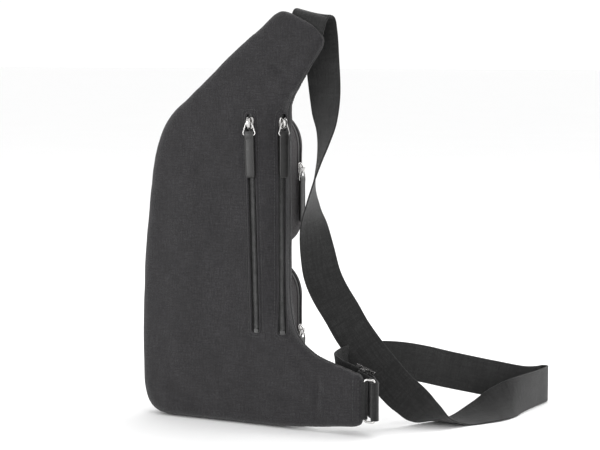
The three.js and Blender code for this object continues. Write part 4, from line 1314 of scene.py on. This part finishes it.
# The webbing's middle line in metres from the bag's left edge, back plane and floor, with
# the direction of one edge at each point.
STRAP_ROUTE = [
    (0.187, 0.005, 0.382, (0.97, 0, -0.24)), (0.191, 0.0052, 0.398, (0.97, 0, -0.24)),
    (0.193, 0.0075, 0.408, (0.97, 0, -0.24)), (0.194, 0.013, 0.4115, (0.97, 0, -0.22)),
    (0.1955, 0.0195, 0.408, (0.98, 0, -0.2)), (0.1965, 0.023, 0.395, (0.99, 0, -0.15)),
    (0.198, 0.025, 0.368, (1, -0.05, -0.06)), (0.199, 0.028, 0.34, (1, -0.15, 0)),
    (0.198, 0.031, 0.314, (0.93, -0.36, 0)), (0.195, 0.034, 0.289, (0.72, -0.69, 0)),
    (0.189, 0.0355, 0.265, (0.52, -0.85, 0)), (0.183, 0.0363, 0.243, (0.4, -0.92, 0)),
    (0.1815, 0.0368, 0.221, (0.1, -1, 0)), (0.183, 0.0372, 0.199, (-0.35, -0.94, -0.05)),
    (0.186, 0.0396, 0.174, (-0.6, -0.75, -0.15)),
    (0.1905, 0.0426, 0.149, (-0.75, -0.55, -0.3)),
    (0.198, 0.046, 0.131, (-0.75, -0.45, -0.45)),
    (0.209, 0.0475, 0.114, (-0.72, -0.38, -0.55)),
    (0.224, 0.051, 0.089, (-0.7, -0.35, -0.62)),
    (0.24, 0.055, 0.0675, (-0.7, -0.35, -0.62)), (0.259, 0.06, 0.045, (-0.7, -0.35, -0.62)),
    (0.277, 0.066, 0.0275, (-0.75, -0.25, -0.55)),
    (0.29, 0.074, 0.0145, (-0.85, 0.05, -0.42)), (0.3, 0.087, 0.0055, (-0.9, 0.3, -0.15)),
    (0.311, 0.107, 0.0016, (-0.88, 0.47, 0)), (0.327, 0.129, 0.0075, (-0.82, 0.4, 0.3)),
    (0.342, 0.153, 0.0155, (-0.5, 0.25, 0.74)), (0.352, 0.186, 0.02, (-0.12, 0.02, 0.99)),
    (0.356, 0.222, 0.02, UP), (0.3575, 0.246, 0.02, UP), (0.3555, 0.253, 0.02, UP),
    (0.3505, 0.2525, 0.02, UP), (0.3465, 0.244, 0.02, UP), (0.338, 0.226, 0.022, UP),
    (0.317, 0.19, 0.032, UP), (0.3, 0.166, 0.0395, UP), (0.283, 0.143, 0.047, UP),
    (0.268, 0.121, 0.0545, UP), (0.253, 0.099, 0.0605, UP), (0.24, 0.081, 0.0635, UP),
    (0.228, 0.064, 0.064, UP), (0.219, 0.05, 0.063, UP), (0.2135, 0.038, 0.0605, UP),
    (0.2125, 0.029, 0.0575, UP), (0.2165, 0.024, 0.0545, UP), (0.222, 0.0222, 0.0513, UP),
    (0.228, 0.022, 0.0489, UP), (0.239, 0.022, 0.0445, UP), (0.25, 0.022, 0.0401, UP),
    (0.2565, 0.0195, 0.038, UP), (0.262, 0.0146, 0.0367, UP), (0.2662, 0.0096, 0.0362, UP),
    (0.2682, 0.0061, 0.036, UP), (0.2676, 0.0032, 0.036, UP), (0.2654, 0.0018, 0.036, UP),
    (0.2632, 0.0026, 0.036, UP), (0.2617, 0.005, 0.036, UP), (0.2602, 0.0086, 0.0362, UP),
    (0.2568, 0.012, 0.0374, UP), (0.252, 0.014, 0.0393, LEANING),
    (0.247, 0.0149, 0.0413, LEANING), (0.242, 0.015, 0.0433, LEANING),
    (0.2388, 0.0149, 0.0446, LEANING), (0.2368, 0.0155, 0.0454, LEANING),
    (0.236, 0.0173, 0.0457, LEANING), (0.2368, 0.0191, 0.0454, LEANING),
    (0.2388, 0.0197, 0.0446, LEANING), (0.2435, 0.0197, 0.0427, LEANING),
]


def webbing_profile(width, thickness):
    """A flat section with full round edges and a slightly thicker selvedge. Metres."""
    half, edge = width / 2, thickness / 2
    across = np.array([-1, -0.995, -0.97, -0.93, -0.88, -0.6, -0.3, 0, 0.3, 0.6, 0.88, 0.93,
                       0.97, 0.995, 1]) * half
    swell = np.array([0.25, 0.62, 0.95, 1.0, 0.86, 0.88, 0.9, 0.9, 0.9, 0.88, 0.86, 1.0, 0.95,
                      0.62, 0.25]) * edge
    top = np.stack([across, swell], axis=1)
    bottom = np.stack([across[::-1], -swell[::-1]], axis=1)
    return np.vstack([top, bottom])


def add_webbing(name, centres, edges, width, thickness):
    """Webbing along a line, with its place on the cloth taken on each face alone."""
    travel = directions(centres)
    edge = square_to(edges, travel)
    face = np.cross(travel, edge)
    profile = webbing_profile(width, thickness)
    made = sweep(name, centres, edge, face, profile, WEBBING)
    along = np.repeat(reached(centres), len(profile))
    across = np.tile(profile[:, 0], len(centres))
    set_weave(made.data, np.stack([along, across], axis=1))
    return made


def strap_line():
    """The strap's middle line and edge directions, on a smooth curve."""
    rows = np.array([(x, y, z, *edge) for x, y, z, edge in STRAP_ROUTE])
    rows[:, :3] += np.array(ORIGIN)
    made = smooth_line(rows, 9)
    edges = made[:, 3:] / np.linalg.norm(made[:, 3:], axis=1)[:, None]
    return made[:, :3], edges


def add_strap():
    centres, edges = strap_line()
    strap = add_webbing("strap", centres, edges, WEBBING_WIDTH * MM, WEBBING_THICKNESS * MM)
    settle(strap, "root", "webbing", "strap_webbing")
    buckle = bevelled_copy("strap_buckle", "strap_adjuster", 0.55, NICKEL)
    settle(buckle, "root", "nickel", "strap_adjuster")
    length = float(reached(centres)[-1])
    tuple(centres[0])
    add_strap_stitches(centres, edges)


def add_strap_stitches(centres, edges):
    """The rows of stitches, on both faces, that hold the strap's end round the adjuster's bar."""
    spot = len(centres) - 8
    end = centres[spot]
    travel = directions(centres)[spot]
    edge = square_to(edges[spot:spot + 1], travel[None])[0]
    out = np.cross(travel, edge)
    half = WEBBING_WIDTH * MM / 2 - 3 * MM
    middle = end - travel * 0.002
    for side in (-1, 1):
        corners = [middle - edge * half, middle + edge * half]
        line = evenly(np.array(corners) + out * side * WEBBING_THICKNESS / 2 * MM, 1 * MM)
        row = stitch_row(f"strap_end_stitches_{'ab'[side > 0]}", line,
                         np.broadcast_to(out * side, line.shape), THREAD, thickness=0.7)
        settle(row, "root", "webbing")


RING_WIRE = 1.25
RING_LEFT = TAIL_END + RING_WIRE + WALL_GAP
RING_SPAN = 10.4
RING_HEIGHT = WEBBING_WIDTH + 2 * (RING_WIRE + 0.5)
TAIL_MIDDLE = 36


def add_tail_ring():
    bend = rounded_corners(RING_SPAN, RING_HEIGHT, 2.5)
    centre_x = RING_LEFT + RING_SPAN / 2
    line = [place((centre_x + x, SEAM_MIDDLE, TAIL_MIDDLE + z)) for x, z in bend]
    ring = wire("ring_wire", line, (0, 1, 0), RING_WIRE * MM, NICKEL, closed=True, sides=16)
    settle(ring, "tail_ring", "nickel", "tail_ring")


def add_tail_loop():
    """Webbing folded round the ring's inner bar and sewn into the tail's end."""
    radius, reach = RING_WIRE + 1.0, 7
    turn = [math.pi / 2 - math.pi * k / 12 for k in range(13)]
    fold = [(RING_LEFT + radius * math.cos(a), SEAM_MIDDLE + radius * math.sin(a)) for a in turn]
    start = [(RING_LEFT - reach + k, SEAM_MIDDLE + radius) for k in range(reach)]
    back = [(x, 2 * SEAM_MIDDLE - y) for x, y in reversed(start)]
    centres = np.array([place((x, y, TAIL_MIDDLE)) for x, y in start + fold + back])
    edges = np.broadcast_to(np.array(UP, float), centres.shape)
    loop = add_webbing("tail_webbing", centres, edges, (WEBBING_WIDTH - 1) * MM, 1.3 * MM)
    settle(loop, "root", "webbing", "tail_loop")


def add_tail_stitches(surface):
    """Two rows across the tail's end that hold the webbing loop."""
    for part, x in (("a", TAIL_END - 3.5), ("b", TAIL_END - 9)):
        for side, out in (("back", -1), ("front", 1)):
            spots = [place((x, SEAM_MIDDLE, z)) for z in np.arange(17, 55.5, 2)]
            line, normals = surface.under(spots, [(0, out, 0)] * len(spots))
            row = stitch_row(f"tail_stitches_{side}_{part}", line, normals, THREAD)
            settle(row, "root", "canvas")


def dress_inner_pieces():
    """Pieces inside the bag keep their CAD solids and get their own materials."""
    for node, material in (("back_pad", FOAM), ("pocket_divider", LINING)):
        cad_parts[node].data.materials.clear()
        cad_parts[node].data.materials.append(material)


# ---------------------------------------------------------------- the scene
CANVAS = woven("canvas", charcoal(0.0115), charcoal(0.03), 0.00062, 0.00022)
# Painted sheen: the stronger red tint stands in for the reddish sheen on the pocket cloth.
POCKET_CANVAS = woven("pocket_canvas", charcoal(0.0115, 1.16), charcoal(0.03, 1.16), 0.00062,
                      0.00022)
WEBBING = woven("webbing", grey(0.0078), grey(0.0225), 0.00125, 0.0004, lint=0.15, rough=0.8)
TAPE = woven("zip_tape", grey(0.009), grey(0.026), 0.0005, 0.00015, lint=0.05)
LINING = woven("lining", grey(0.02), grey(0.035), 0.0003, 0.00006, lint=0.0, rough=0.6)
FOAM = woven("foam", grey(0.07), grey(0.1), 0.0012, 0.0003, lint=0.0)
# Dark cord for the pockets' base seam, also used as painted shade in the rim seam's groove.
SEAM_CORD_AND_SHADE = woven("seam_cord", grey(0.008), grey(0.02), 0.0005, 0.0001, lint=0.1)
THREAD = moulded("thread", grey(0.014), grey(0.034), 0.5)
NYLON = moulded("nylon_coil", grey(0.03), grey(0.06), 0.3)
LEATHER = leather("leather", grey(0.006, 0.02), grey(0.014, 0.03))
NICKEL = plated("nickel", grey(0.56, 0.015), 0.14)
FLOOR = pale_floor("studio_floor")


def add_floor():
    reach = 30
    corners = [(-reach, -reach, 0), (reach, -reach, 0), (reach, reach, 0), (-reach, reach, 0)]
    add_mesh("studio_floor", corners, [(0, 1, 2, 3)], FLOOR, False)


def add_lights():
    add_world(1.04)
    middle = (0, 0, 0.16)
    add_area_light("key", (-1.7, -2.0, 0.35), middle, (1.3, 1.1), 30)
    add_area_light("fill", (2.4, -1.4, 1.0), middle, (0.9, 1.5), 14)
    add_area_light("top", (0.2, 0.6, 2.4), middle, (1.8, 1.4), 20)
    add_area_light("rim", (0.9, 2.0, 1.2), middle, (1.2, 1.0), 16)


add_camera()
add_lights()
add_floor()
add_strap()
shell_surface, zip_tracks = build_shell()
add_rim_seam(shell_surface)
for zip_track in zip_tracks:
    add_side_zip(shell_surface, zip_track)
for front_pocket in (Pocket("upper_pocket", 174, SHOULDER + 2, 242),
                     Pocket("lower_pocket", 22, 163, 76)):
    add_pocket(front_pocket)
add_tail_ring()
add_tail_loop()
add_tail_stitches(shell_surface)
dress_inner_pieces()
